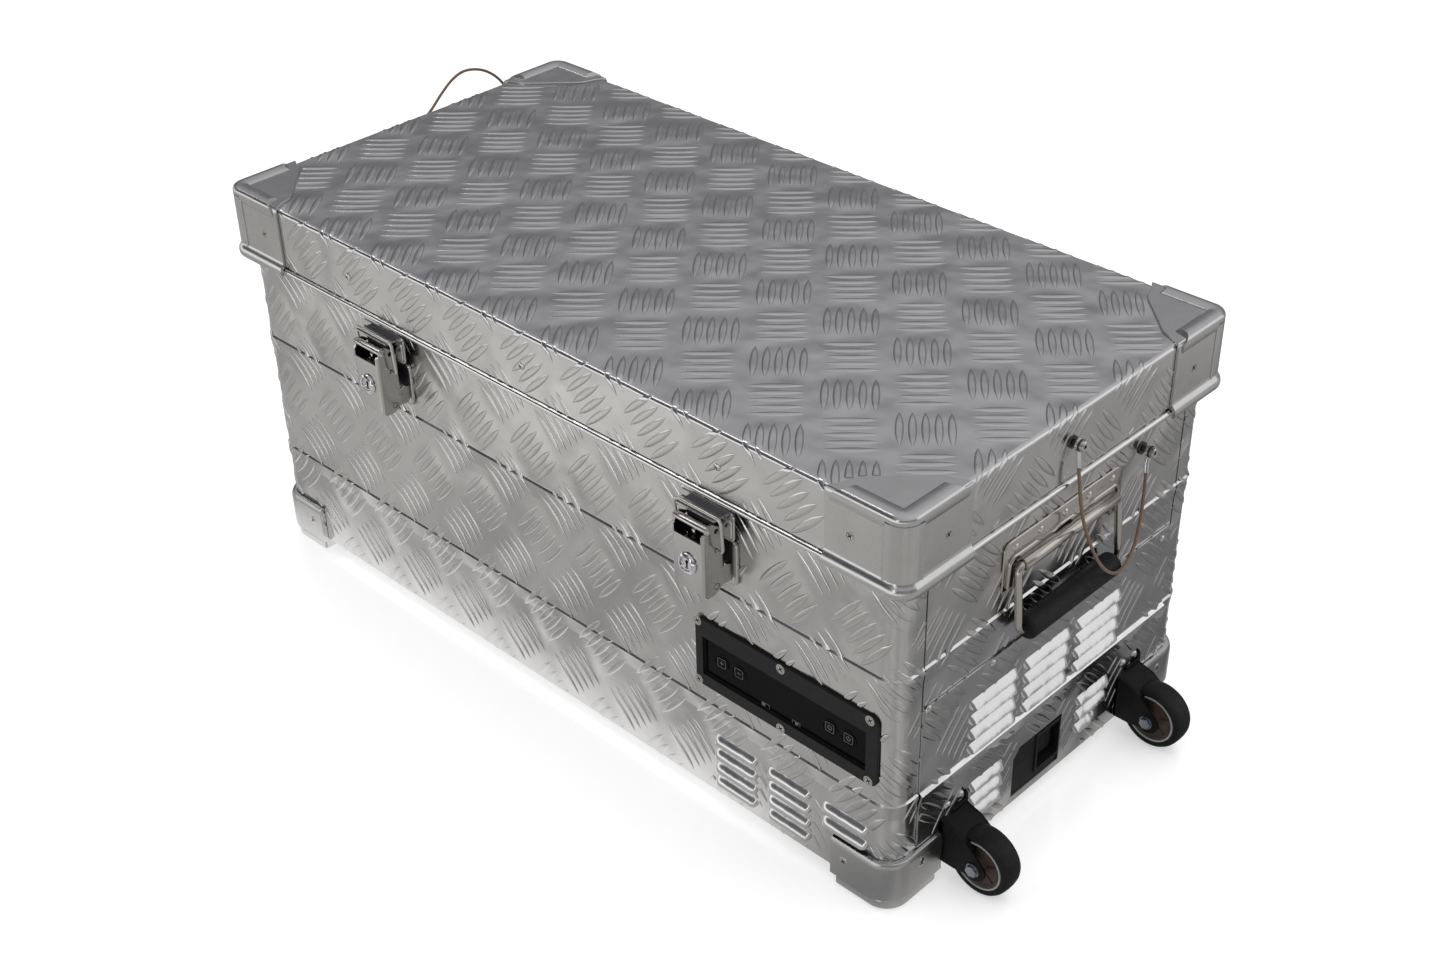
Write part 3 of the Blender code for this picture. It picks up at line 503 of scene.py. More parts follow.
class Fasteners:
    """Gathers the screws and rivets of one body, to be put in the scene as one piece each."""

    def __init__(self, body):
        self.body, self.heads, self.slots = body, [], []

    def rivet(self, place, axis, sign, radius=3.8, tall=1.9):
        self.heads.append(dome(place, axis, sign, radius, tall))

    def screw(self, place, axis, sign, radius=4.0, tall=1.3, sunk=False):
        if sunk:
            profile = [(radius, -0.2 * sign), (radius, 0.14 * sign), (radius * 0.86, 0.26 * sign),
                       (radius * 0.78, 0.12 * sign), (radius * 0.05, 0.16 * sign)]
            self.heads.append(turned(profile, place, axis, 20))
            # A dark ring painted as the shade of the gap round the sunk head.
            gap = [(radius * f, h * sign) for f,
                   h in ((0.72, 0.08), (0.72, 0.17), (0.80, 0.17), (0.80, 0.08))]
            self.slots.append(turned(gap, place, axis, 20, True))
            top = 0.12
        else:
            self.rivet(place, axis, sign, radius, tall)
            top = tall * 0.93
        # Each cross slot is a raised dark mark painted as the shade in the slot.
        for angle in (35, 125):
            along = (math.cos(math.radians(angle)), math.sin(math.radians(angle)))
            reach, half = radius * 0.5, radius * 0.11
            corners = [(a * reach * along[0] - b * half * along[1],
                        a * reach * along[1] + b * half * along[0])
                       for a, b in ((-1, -1), (1, -1), (1, 1), (-1, 1))]
            cross = prism(corners, sign * (top - 0.4), sign * (top + 0.12), axis)
            bmesh.ops.translate(cross, vec=place, verts=cross.verts)
            self.slots.append(cross)

    def place_all(self):
        put("fasteners_" + self.body, merged(self.heads), "steel", self.body, SCREW)
        if self.slots:
            put("screw_slot_shade_" + self.body, merged(self.slots), "steel", self.body, SHADOW)


CASE, LID = Fasteners("case"), Fasteners("lid")


# ---- tread plate ------------------------------------------------------------------------
BAR_WIDE, BAR_HIGH = 7.0, 0.8
SECTION = ((-1.0, -0.30), (-0.95, 0.12), (-0.64, 0.78), (-0.42, 0.95), (0.0, 1.0), (0.42, 0.95), (0.64, 0.78),
           (0.95, 0.12), (1.0, -0.30))
BAR_STEPS = 8


def spans(inside):
    """Stretches of a bar, between -1 and 1, whose middle line is on the sheet."""
    marks = [-1.0 + i / 20 for i in range(41)]
    found, start = [], None
    for mark in marks:
        if inside(mark):
            start = mark if start is None else start
            end = mark
        elif start is not None:
            found.append((start, end))
            start = None
    if start is not None:
        found.append((start, end))
    return [s for s in found if s[1] - s[0] > 0.12]


def add_bar(mesh, surface, middle, run, long, start, end):
    side = (-run[1], run[0])
    rows = []
    count = max(3, round((end - start) / 2 * BAR_STEPS))
    for n in range(count + 1):
        t = max(-0.99, min(0.99, start + (end - start) * n / count))
        half = max(0.2, BAR_WIDE / 2 * (1.0 - abs(t) ** 2.1) ** 0.75)
        rise = BAR_HIGH * min(1.0, half / (BAR_WIDE * 0.3))
        at = (middle[0] + run[0] * t * long / 2, middle[1] + run[1] * t * long / 2)
        rows.append([mesh.verts.new(surface(at[0] + side[0] * x * half, at[1] + side[1] * x * half,
                                            h * (rise if h > 0 else BAR_HIGH)))
                     for x, h in SECTION])
    for a, b in zip(rows, rows[1:]):
        for n in range(len(SECTION)):
            m = (n + 1) % len(SECTION)
            mesh.faces.new((a[n], a[m], b[m], b[n]))
    mesh.faces.new(rows[0][::-1])
    mesh.faces.new(rows[-1])


def tread(surface, inside, reach, families):
    """Raise five-bar quintets over an unfolded sheet.

    surface(u, v, h) gives the place of sheet point (u, v) raised by h, inside(u, v) says whether
    the sheet is bare there, and reach is its (u low, u high, v low, v high).  A family is
    (first centre, pitches, direction of its bars in degrees, their length, their spacing)."""
    mesh = bmesh.new()
    for base, pitch, angle, long, apart in families:
        run = (math.cos(math.radians(angle)), math.sin(math.radians(angle)))
        lows = [math.floor((reach[2 * k] - 40 - base[k]) / pitch[k]) for k in (0, 1)]
        highs = [math.ceil((reach[2 * k + 1] + 40 - base[k]) / pitch[k]) for k in (0, 1)]
        for i in range(lows[0], highs[0] + 1):
            for j in range(lows[1], highs[1] + 1):
                for k in range(-2, 3):
                    middle = (base[0] + i * pitch[0] - run[1] * k * apart,
                              base[1] + j * pitch[1] + run[0] * k * apart)

                    def bare(t):
                        u, v = (middle[n] + run[n] * t * long / 2 for n in (0, 1))
                        return (reach[0] <= u <= reach[1] and reach[2] <= v <= reach[3]
                                and inside(u, v))

                    for start, end in spans(bare):
                        add_bar(mesh, surface, middle, run, long, start, end)
    return mesh


def folded(flat, radius, distance):
    """Where a sheet goes past a right-angled fold: (along, down, normal along, normal up)."""
    start = flat - radius
    if distance <= start:
        return distance, 0.0, 0.0, 1.0
    arc = radius * math.pi / 2
    if distance - start < arc:
        angle = (distance - start) / radius
        return (start + radius * math.sin(angle), radius * (1 - math.cos(angle)),
                math.sin(angle), math.cos(angle))
    return flat, radius + distance - start - arc, 1.0, 0.0


def lid_surface(u, v, h):
    """The lid's sheet: a top whose four edges fold down."""
    if abs(v) > LID_Y - LID_FOLD and abs(u) < LID_X:
        along, down, n_along, n_up = folded(LID_Y, LID_FOLD, abs(v))
        return (u, math.copysign(along + n_along * h, v), LID_TOP - down + n_up * h)
    along, down, n_along, n_up = folded(LID_X, LID_FOLD, abs(u))
    return (math.copysign(along + n_along * h, u), v, LID_TOP - down + n_up * h)


def lid_bare(u, v):
    """Whether the lid's sheet shows at (u, v), clear of the corner castings."""
    a, b = LID_X - abs(u), LID_Y - abs(v)
    if a < 0 and b < 0:
        return False
    if b < 2:
        return a > 74
    if a < 2:
        return b > 75
    return a > 67 or b > 75 or a > 65 - (b - 22) * 51 / 48


def swell(z):
    """How far a body sheet stands out at height z, with its two pressed swages."""
    for top in SWAGES:
        rise = SWAGE_TALL - SWAGE_LEDGE
        if top - SWAGE_TALL <= z <= top - SWAGE_LEDGE:
            return SWAGE_OUT * (z - top + SWAGE_TALL) / rise
        if top - SWAGE_LEDGE < z < top:
            return SWAGE_OUT * (top - z) / SWAGE_LEDGE
    return 0.0


FLAT_X, FLAT_Y = BODY_X - BODY_R, BODY_Y - BODY_R
BODY_ARC = BODY_R * math.pi / 2
SEAM = FLAT_X + BODY_ARC + FLAT_Y - COVER_Y  # long sheet's edge on an end wall, round from the front


def long_surface(sign):
    """The front's sheet for -1, the rear's for 1: it wraps both corners as far as the seams."""
    def surface(u, v, h):
        out, s = swell(v) + h, abs(u)
        if s <= FLAT_X:
            x, y = s, BODY_Y + out
        elif s <= FLAT_X + BODY_ARC:
            angle = (s - FLAT_X) / BODY_R
            x = FLAT_X + (BODY_R + out) * math.sin(angle)
            y = FLAT_Y + (BODY_R + out) * math.cos(angle)
        else:
            x, y = BODY_X + out, FLAT_Y - (s - FLAT_X - BODY_ARC)
        return (-sign * math.copysign(x, u), sign * y, v)
    return surface


def clear_of(boxes):
    return lambda u, v: not any(a < u < b and c < v < d for a, b, c, d in boxes)


def louvre_boxes(groups, half=5.5):
    return [(low - 4, high + 4, top - LOUVRE_PITCH * i - half, top - LOUVRE_PITCH * i + half)
            for low, high, top, count in groups for i in range(count)]


LONG_FAMILIES = (((-2.2, 263.0), (72.0, 85.0), 49.0, 46.0, 9.9),
                 ((33.8, 220.5), (72.0, 85.0), -47.0, 45.0, 9.9))
END_FAMILIES = (((-108.0, 217.0), (84.0, 72.0), -43.0, 46.0, 9.9),
                ((-148.0, 251.0), (84.0, 72.0), 50.0, 45.0, 9.9))
COVER_FAMILIES = (((-144.0, 177.0), (72.0, 85.0), -43.0, 46.0, 9.9),
                  ((-119.0, 141.0), (74.0, 85.0), 50.0, 45.0, 9.9))
LID_FAMILIES = (((40.1, -12.0), (73.2, 86.1), 129.5, 47.0, 9.7),
                ((76.7, -55.0), (73.2, 86.1), 42.5, 45.0, 10.2))


def tread_plates():
    drop = LID_TOP - RIM_TOP - 1.5 - LID_FOLD * (2 - math.pi / 2)
    reach = (-LID_X - drop, LID_X + drop, -LID_Y - drop, LID_Y + drop)
    put("tread_lid", tread(lid_surface, lid_bare, reach, LID_FAMILIES), "tread_plate", "lid", BAR, smooth=70)

    foot = FLAT_X + BODY_ARC + FLAT_Y - (BODY_Y - 59.0)
    feet = [(sign_low, sign_high, 0, 51) for sign_low,
            sign_high in ((FLAT_X - 41, foot), (-foot, 41 - FLAT_X))]
    window = (PANEL[0] - PANEL_HALF[0], PANEL[0] + PANEL_HALF[0], PANEL[1] - PANEL_HALF[1],
              PANEL[1] + PANEL_HALF[1])
    reach = (-SEAM + 1, SEAM - 1, BODY_LOW + 3, BODY_HIGH - 0.5)
    for name, sign, boxes in (("front", -1, feet + [window] + louvre_boxes(FRONT_LOUVRES)),
                              ("rear", 1, feet)):
        mesh = tread(long_surface(sign), clear_of(boxes), reach, LONG_FAMILIES)
        put("tread_" + name, mesh, "tread_plate", "case", BAR, smooth=70)
    for side, sign in ENDS:
        low = COVER_TOP + 1 if side == "right" else BODY_LOW + 3
        mesh = tread(lambda u, v, h: (sign * (BODY_X + swell(v) + h), u, v), clear_of(()),
                     (-COVER_Y + 2, COVER_Y - 2, low, BODY_HIGH - 0.5), END_FAMILIES)
        put("tread_end_" + side, mesh, "tread_plate", "case", BAR, smooth=70)
    boxes = louvre_boxes(END_LOUVRES) + [(-44, 26, 10, 73)]
    boxes += [(sign - 30, sign + 30, 0, 53) for sign in (-164, 164)]
    mesh = tread(lambda u, v, h: (COVER_FACE + swell(v) + h, u, v), clear_of(boxes),
                 (-COVER_Y + 1, COVER_Y - 1, 15, COVER_TOP - 1), COVER_FAMILIES)
    put("tread_cover", mesh, "tread_plate", "case", BAR, smooth=70)


# ---- sheets, rims and seams ----------------------------------------------------------------
def arc(radius, start, turn, steps, centre=(0.0, 0.0)):
    return circle(radius, steps, centre, start, turn - 0.001)


def sheets():
    fold = [(o, z) for o, z in reversed(arc(LID_FOLD, 0, 90, 6, (-LID_FOLD, LID_TOP - LID_FOLD)))]
    profile = fold + [(0.0, RIM_TOP + 1.2), (-1.6, RIM_TOP + 1.2), (-1.6, LID_TOP - 2.0)]
    put("lid_sheet", wrap(profile, LID_X, LID_Y, LID_R), "tread_plate", "lid", LID_SHEET,
        stands_for=["lid_skin"], even=True)

    bead = arc(3.1, 90, -180, 10, (-0.1, 320.4))
    profile = [(-1.2, RIM_TOP + 3), (-1.2, RIM_TOP + 0.4), *bead, (-6.0, RIM_LOW), (-6.0, RIM_TOP + 3)]
    put("lid_bead", wrap(profile, LID_X, LID_Y, LID_R, True, 14), "extruded_aluminium", "lid",
        stands_for=["lid_rim"])

    profile = [(-2.0, BODY_LOW), (0.0, BODY_LOW + 2)]
    for top in SWAGES:
        profile += [(0.0, top - SWAGE_TALL - 1), (0.15, top - SWAGE_TALL + 1),
                    (SWAGE_OUT - 0.1, top - SWAGE_LEDGE - 0.3),
                    (SWAGE_OUT, top - SWAGE_LEDGE + 0.1), (SWAGE_OUT - 0.2, top - SWAGE_LEDGE + 0.4),
                    (0.15, top), (0.0, top + 0.5)]
    profile += [(0.0, BODY_HIGH), (-2.0, BODY_HIGH), (-2.0, BODY_LOW + 3)]
    shell = wrap(profile, BODY_X, BODY_Y, BODY_R)
    slots = [block((low, -BODY_Y - 5, top - LOUVRE_PITCH * i - 3), (high, -BODY_Y + 5,
                                                                    top - LOUVRE_PITCH * i + 3))
             for low, high, top, count in FRONT_LOUVRES for i in range(count)]
    shell = carve(shell, merged(slots), block((BODY_X - 10, -130, 18), (BODY_X + 10, 130, 180)),
                  block((191.5, -BODY_Y - 5, 132.5), (372.5, -BODY_Y + 5, 179.5)))
    put("body_sheet", shell, "tread_plate", "case", stands_for=["outer_shell"], even=True)

    profile = [(-2.2, 303.3), (-2.2, 316.0), (-2.8, 317.0), (-7.4, 317.0), (-8.0, 316.4), (-8.0, 303.3)]
    put("rim_hem", wrap(profile, BODY_X, BODY_Y, BODY_R, True), "extruded_aluminium", "case",
        stands_for=["body_rim"])

    # Dark strips painted as the shade in the seams where the long sheets meet the end walls.
    strips = []
    for side, sign in ENDS:
        for y in (-COVER_Y, COVER_Y):
            low = COVER_TOP if side == "right" else 50.0
            heights = sorted({low, BODY_HIGH} | {z for top in SWAGES for z in
                                                  (top - SWAGE_TALL, top - SWAGE_LEDGE, top) if z > low})
            for a, b in zip(heights, heights[1:]):
                points = [(BODY_X + swell(a + 0.01) - 0.3, a), (BODY_X + swell(b - 0.01) - 0.3, b),
                          (BODY_X + swell(b - 0.01) + 0.18, b), (BODY_X + swell(a + 0.01) + 0.18, a)]
                strips.append(flip(prism(points, y - 0.5, y + 0.5, "y"), sign))
    put("seam_shade_strips", merged(strips), "black_plastic", "case", SHADOW)


def hood(low, high, middle, surface, lean):
    """A pressed louvre hood: closed above and at its rounded ends, open below.

    lean is 0 for a rounded face and 1 for a flat slanting one."""
    half, tall, out = (high - low) / 2 + 2.5, 5.2 - 0.6 * lean, 4.4 + 0.5 * lean
    mesh = bmesh.new()
    rows = []
    across, down = 22, 8
    for i in range(across + 1):
        t = -1.0 + 2.0 * i / across
        t = math.sin(t * math.pi / 2)
        end = 1.0 - max(0.0, (abs(t) * half - (half - 6.0)) / 6.0) ** 2
        full = math.sqrt(max(0.0, end))
        row = []
        for k in range(down + 1):
            s = k / down
            drop = s * (tall + 3.6 - 0.6 * lean)
            swing = ((1 - lean) * math.sin(s * math.pi / 2) ** 1.15 + lean * s) * out * full
            row.append(mesh.verts.new(surface(low + (high - low) / 2 + t * half,
                                              middle + tall * (0.35 + 0.65 * full) - drop * (0.4 + 0.6 * full),
                                              max(swing, 0.03))))
        rows.append(row)
    for a, b in zip(rows, rows[1:]):
        for n in range(down):
            mesh.faces.new((a[n], a[n + 1], b[n + 1], b[n]))
    bmesh.ops.solidify(mesh, geom=mesh.faces[:], thickness=0.6)
    return mesh


def louvres():
    front = [hood(low, high, top - LOUVRE_PITCH * i, lambda u, v, h: (u, -BODY_Y - swell(v) - h, v), 0.0)
             for low, high, top, count in FRONT_LOUVRES for i in range(count)]
    put("louvre_hoods_front", merged(front), "tread_plate", "case", HOOD, smooth=50)
    end = [hood(low, high, top - LOUVRE_PITCH * i, lambda u, v, h: (COVER_FACE + swell(v) + h, u, v), 0.85)
           for low, high, top, count in END_LOUVRES for i in range(count)]
    put("louvre_hoods_cover", merged(end), "tread_plate", "case", HOOD, smooth=50)


# ---- corner castings --------------------------------------------------------------------
def corner_sweep(profile, half_x, half_y, radius, reach, steps=12):
    """Carry a closed (offset, height) profile round one corner, (+x, +y), and cap its ends.

    reach(offset, height) gives the lengths left of the corner along x and y."""
    columns = []
    for offset, height in profile:
        reach_x, reach_y = reach(offset, height)
        column = [(half_x - reach_x, half_y + offset, height)]
        for i in range(steps + 1):
            angle = math.pi / 2 * (1 - i / steps)
            column.append((half_x - radius + (radius + offset) * math.cos(angle),
                           half_y - radius + (radius + offset) * math.sin(angle), height))
        column.append((half_x + offset, half_y - reach_y, height))
        columns.append(column)
    return loft([list(ring) for ring in zip(*columns)])


CORNERS = {"front_left": (-1, -1), "front_right": (1, -1), "rear_left": (-1, 1), "rear_right": (1, 1)}


def lid_casting():
    wall = [(0.3, 324.0), (3.0, 323.6), (3.0, 317.2), (5.0, 316.6), (6.0, 318.2), (6.4, 321.0),
            (5.9, 324.0), (4.4, 326.3), (3.1, 327.6), (2.4, 329.6), (2.3, 331.0), (2.3, 378.0),
            (1.9, 381.0), (0.3, 383.2)]
    parts = [corner_sweep(wall, LID_X, LID_Y, LID_R, lambda o, z: (72.0, 73.0))]
    column = [(1.5, 328.6), (3.3, 329.6), (3.3, 379.0), (1.5, 380.0)]
    parts.append(corner_sweep(column, LID_X, LID_Y, LID_R, lambda o, z: (LID_R + 4.5, LID_R + 4.5)))
    near = LID_R + 5.0
    parts += [rod((LID_X - near, LID_Y + 2.5, 328), (LID_X - near, LID_Y + 2.5, 376), 1.0, 12),
              rod((LID_X + 2.5, LID_Y - near, 328), (LID_X + 2.5, LID_Y - near, 376), 1.0, 12)]
    ridge = [(-2.0, 372.2), (0.9, 372.4), (2.3, 373.4), (3.0, 375.2), (3.3, 378.0),
             *circle(4.6, 6, (-1.3, 381.2), 0, 72),
             (-1.6, 386.2), (-5.0, 386.2), (-9.0, 385.6), (-11.2, 384.8), (-12.6, 383.4), (-13.4, 381.6),
             (-13.4, 378.0)]

    def slanted(offset, height):
        short = max(0.0, height - 380.0) * 1.6
        return (66.0 - short + offset * 0.3, 67.0 - short + offset * 0.3)

    parts.append(corner_sweep(ridge, LID_X, LID_Y, LID_R, slanted))
    outline = [(LID_X - 72, LID_Y + 1.2), (LID_X - 66, LID_Y - 10), (LID_X - 63, LID_Y - 20),
               (LID_X - 58, LID_Y - 27), (LID_X - 20, LID_Y - 63), (LID_X - 10, LID_Y - 67.5),
               (LID_X + 1.2, LID_Y - 73), *circle(LID_R + 1.2, 8, (LID_X - LID_R, LID_Y - LID_R), 0, 89.9)]
    parts.append(slab(outline, LID_TOP - 1.5, LID_TOP + 1.7, "z", 0.7))
    return merged(parts)


def foot_casting():
    wall = [(0.3, 14.0), (0.3, 50.4), (2.6, 50.4), (4.4, 49.6), (5.4, 47.6), (5.9, 45.5), (5.9, 12.4),
            (5.2, 11.4), (2.4, 11.2), (2.4, 12.6), (1.2, 12.6)]
    parts = [corner_sweep(wall, BODY_X, BODY_Y, BODY_R, lambda o, z: (57.0, 57.5))]
    foot = [(-14.0, 0.0), (1.0, 0.0), (2.6, 0.8), (3.4, 2.2), (3.4, 8.6), (2.6, 9.6), (1.6, 9.8), (1.6, 12.4),
            (-14.0, 12.4)]
    parts.append(corner_sweep(foot, BODY_X, BODY_Y, BODY_R, lambda o, z: (52.5, 53.0)))
    outline = [(BODY_X - 54, BODY_Y + 1), (BODY_X - 54, BODY_Y - 20), (BODY_X - 20, BODY_Y - 54),
               (BODY_X + 1, BODY_Y - 54), *circle(BODY_R + 1, 8, (FLAT_X, FLAT_Y), 0, 89.9)]
    parts.append(slab(outline, 0.1, 11.8, "z", 1.0))
    return merged(parts)


def castings():
    for corner, (sx, sy) in CORNERS.items():
        put("lid_corner_" + corner, flip(lid_casting(), sx, sy), "cast_aluminium", "lid", even=True,
            stands_for=["lid_casting_" + corner])
        put("foot_corner_" + corner, flip(foot_casting(), sx, sy), "cast_aluminium", "case", even=True,
            stands_for=["foot_casting_" + corner])
        LID.screw((sx * (LID_X - 48), sy * (LID_Y + 2.3), 351), "y", sy, 4.2, sunk=True)
        LID.screw((sx * (LID_X + 2.3), sy * (LID_Y - 46), 351), "x", sx, 4.2, sunk=True)
        CASE.screw((sx * (BODY_X - 43), sy * (BODY_Y + 5.9), 33), "y", sy, 4.2, 0.8)
        CASE.screw((sx * (BODY_X + 5.9), sy * (BODY_Y - 31), 38), "x", sx, 4.2, 0.8)
    for x in (-230, 0, 220):
        for sy in (-1, 1):
            LID.screw((x, sy * LID_Y, 350), "y", sy, 3.6, 1.8)
    for y, z in ((-160, 190), (-81, 187), (0, 187), (81, 187), (152, 183)):
        CASE.rivet((COVER_FACE, y, z), "x", 1, 4.0, 2.0)
    for y in (-CASTOR_Y, CASTOR_Y):
        for step in (-8.5, 8.5):
            CASE.rivet((COVER_FACE, y + step, 72), "x", 1, 4.2, 2.4)


# ---- control panel ----------------------------------------------------------------------
def stroke(points, wide, y, closed=False):
    """A thin raised line through (x, z) points on the panel, as one closed mesh."""
    path = points + [points[0]] if closed else points
    parts = []
    for (ax, az), (bx, bz) in zip(path, path[1:]):
        length = math.hypot(bx - ax, bz - az)
        nx, nz = -(bz - az) / length * wide / 2, (bx - ax) / length * wide / 2
        parts.append(prism([(ax + nx, az + nz), (bx + nx, bz + nz), (bx - nx, bz - nz), (ax - nx, az - nz)],
                           y, y + 0.3, "y"))
    return merged(parts)


def control_panel():
    face = -BODY_Y - 2.8
    outer, hole = rounded(*PANEL_HALF, 7.5, 6, PANEL), rounded(*WINDOW_HALF, 1.5, 6, WINDOW)
    bezel = frame_slab(outer, hole, -BODY_Y - 0.3, face, "y", 0.5)
    put("panel_frame", bezel, "black_plastic", "case", stands_for=["panel_bezel"], even=True)
    lip = frame_slab(rounded(WINDOW_HALF[0] + 0.5, WINDOW_HALF[1] + 0.5, 1.5, 6, WINDOW),
                     rounded(WINDOW_HALF[0] - 1.6, WINDOW_HALF[1] - 1.6, 1.0, 6, WINDOW),
                     -BODY_Y + 0.3, -BODY_Y - 0.5, "y", 0.35)
    put("panel_lip", lip, "black_plastic", "case", even=True)
    for x in (190.5, 280.5, 371.0):
        for z in (128.6, 188.6):
            CASE.screw((x, face, z + (0.0 if x != 280.5 else -0.6)), "y", -1, 4.4, sunk=True)

    glass = -BODY_Y + 0.3
    rings = []
    for x in BUTTONS.values():
        profile = [(6.9, glass), (6.9, glass - 0.25), (7.4, glass - 0.5), (7.9, glass - 0.25), (7.9, glass)]
        ring = turned(profile, (x, 0, BUTTON_Z), "y", 40, True)
        rings.append(ring)
    put("button_rings", merged(rings), "window", "case")
    icons = []
    for n, x in enumerate((262.0, 294.5)):
        outline = [(x - 4, 136.2), (x + 4, 136.2), (x + 4, 141.2), (x - 4, 141.2)]
        icons.append(stroke(outline, 0.35, glass - 0.25, True))
        fill = x - 2.2 if n == 0 else x + 0.6
        icons.append(block((fill - 1.6, glass - 0.25, 136.8), (fill + 1.6, glass + 0.1, 140.6)))
    put("zone_icons", merged(icons), "window", "case", MARK)

    for name, x in BUTTONS.items():
        pad = slab(rounded(5.0, 5.0, 1.5, 4, (x, BUTTON_Z)), glass - 0.6, glass + 4.0, "y", 0.25)
        put("key_" + name, pad, "window", "key_" + name, stands_for=["button_" + name])
        top = glass - 0.75
        marks = [stroke(rounded(4.3, 4.3, 1.2, 3, (x, BUTTON_Z)), 0.3, top, True)]
        if name in ("plus", "minus"):
            marks.append(stroke([(x - 1.7, BUTTON_Z), (x + 1.7, BUTTON_Z)], 0.5, top))
        if name == "plus":
            marks.append(stroke([(x, BUTTON_Z - 1.7), (x, BUTTON_Z + 1.7)], 0.5, top))
        if name == "settings":
            marks.append(stroke([(x + r * math.cos(a), BUTTON_Z + r * math.sin(a)) for r, a in
                                 [((2.2, 1.6)[i % 2], math.pi * i / 8) for i in range(16)]], 0.45, top, True))
        if name == "power":
            marks.append(stroke(circle(1.9, 12, (x, BUTTON_Z), 125, 290), 0.45, top))
            marks.append(stroke([(x, BUTTON_Z + 0.4), (x, BUTTON_Z + 2.5)], 0.45, top))
        put("mark_" + name, merged(marks), "window", "key_" + name, MARK)


def inlet():
    face = BODY_X
    plate = slab([(-50, 19), (32, 19), (32, 79), (-50, 79)], face - 2.5, face, "x", 0.3)
    rim = [(-9, 26), (22, 26), (26, 30), (26, 67), (-9, 67)]
    inner = [(-6, 29), (21, 29), (23, 31), (23, 64), (-6, 64)]
    boss = slab(rim, face - 24, face + 1.2, "x", 0.4)
    pocket = prism(inner, face - 20, face + 5, "x")
    body = carve(merged([plate]), prism(rim, face - 10, face + 5, "x"))
    put("inlet_panel", merged([body, carve(boss, pocket)]), "black_plastic", "case",
        stands_for=["inlet_plate"], even=True)
    tongue = slab([(1, 38), (15, 38), (17, 42), (17, 56), (1, 56)], face - 19.9, face - 3, "x", 0.6)
    put("inlet_tongue", tongue, "black_plastic", "case", LOOKS["black_steel"])
    pins = [slab(rounded(1.3, 2.2, 0.6, 4, place), face - 20, face - 9, "x", 0.4)
            for place in ((8.5, 60.0), (3.5, 34.0), (14.5, 34.0))]
    put("inlet_pins", merged(pins), "black_plastic", "case", LOOKS["steel"])


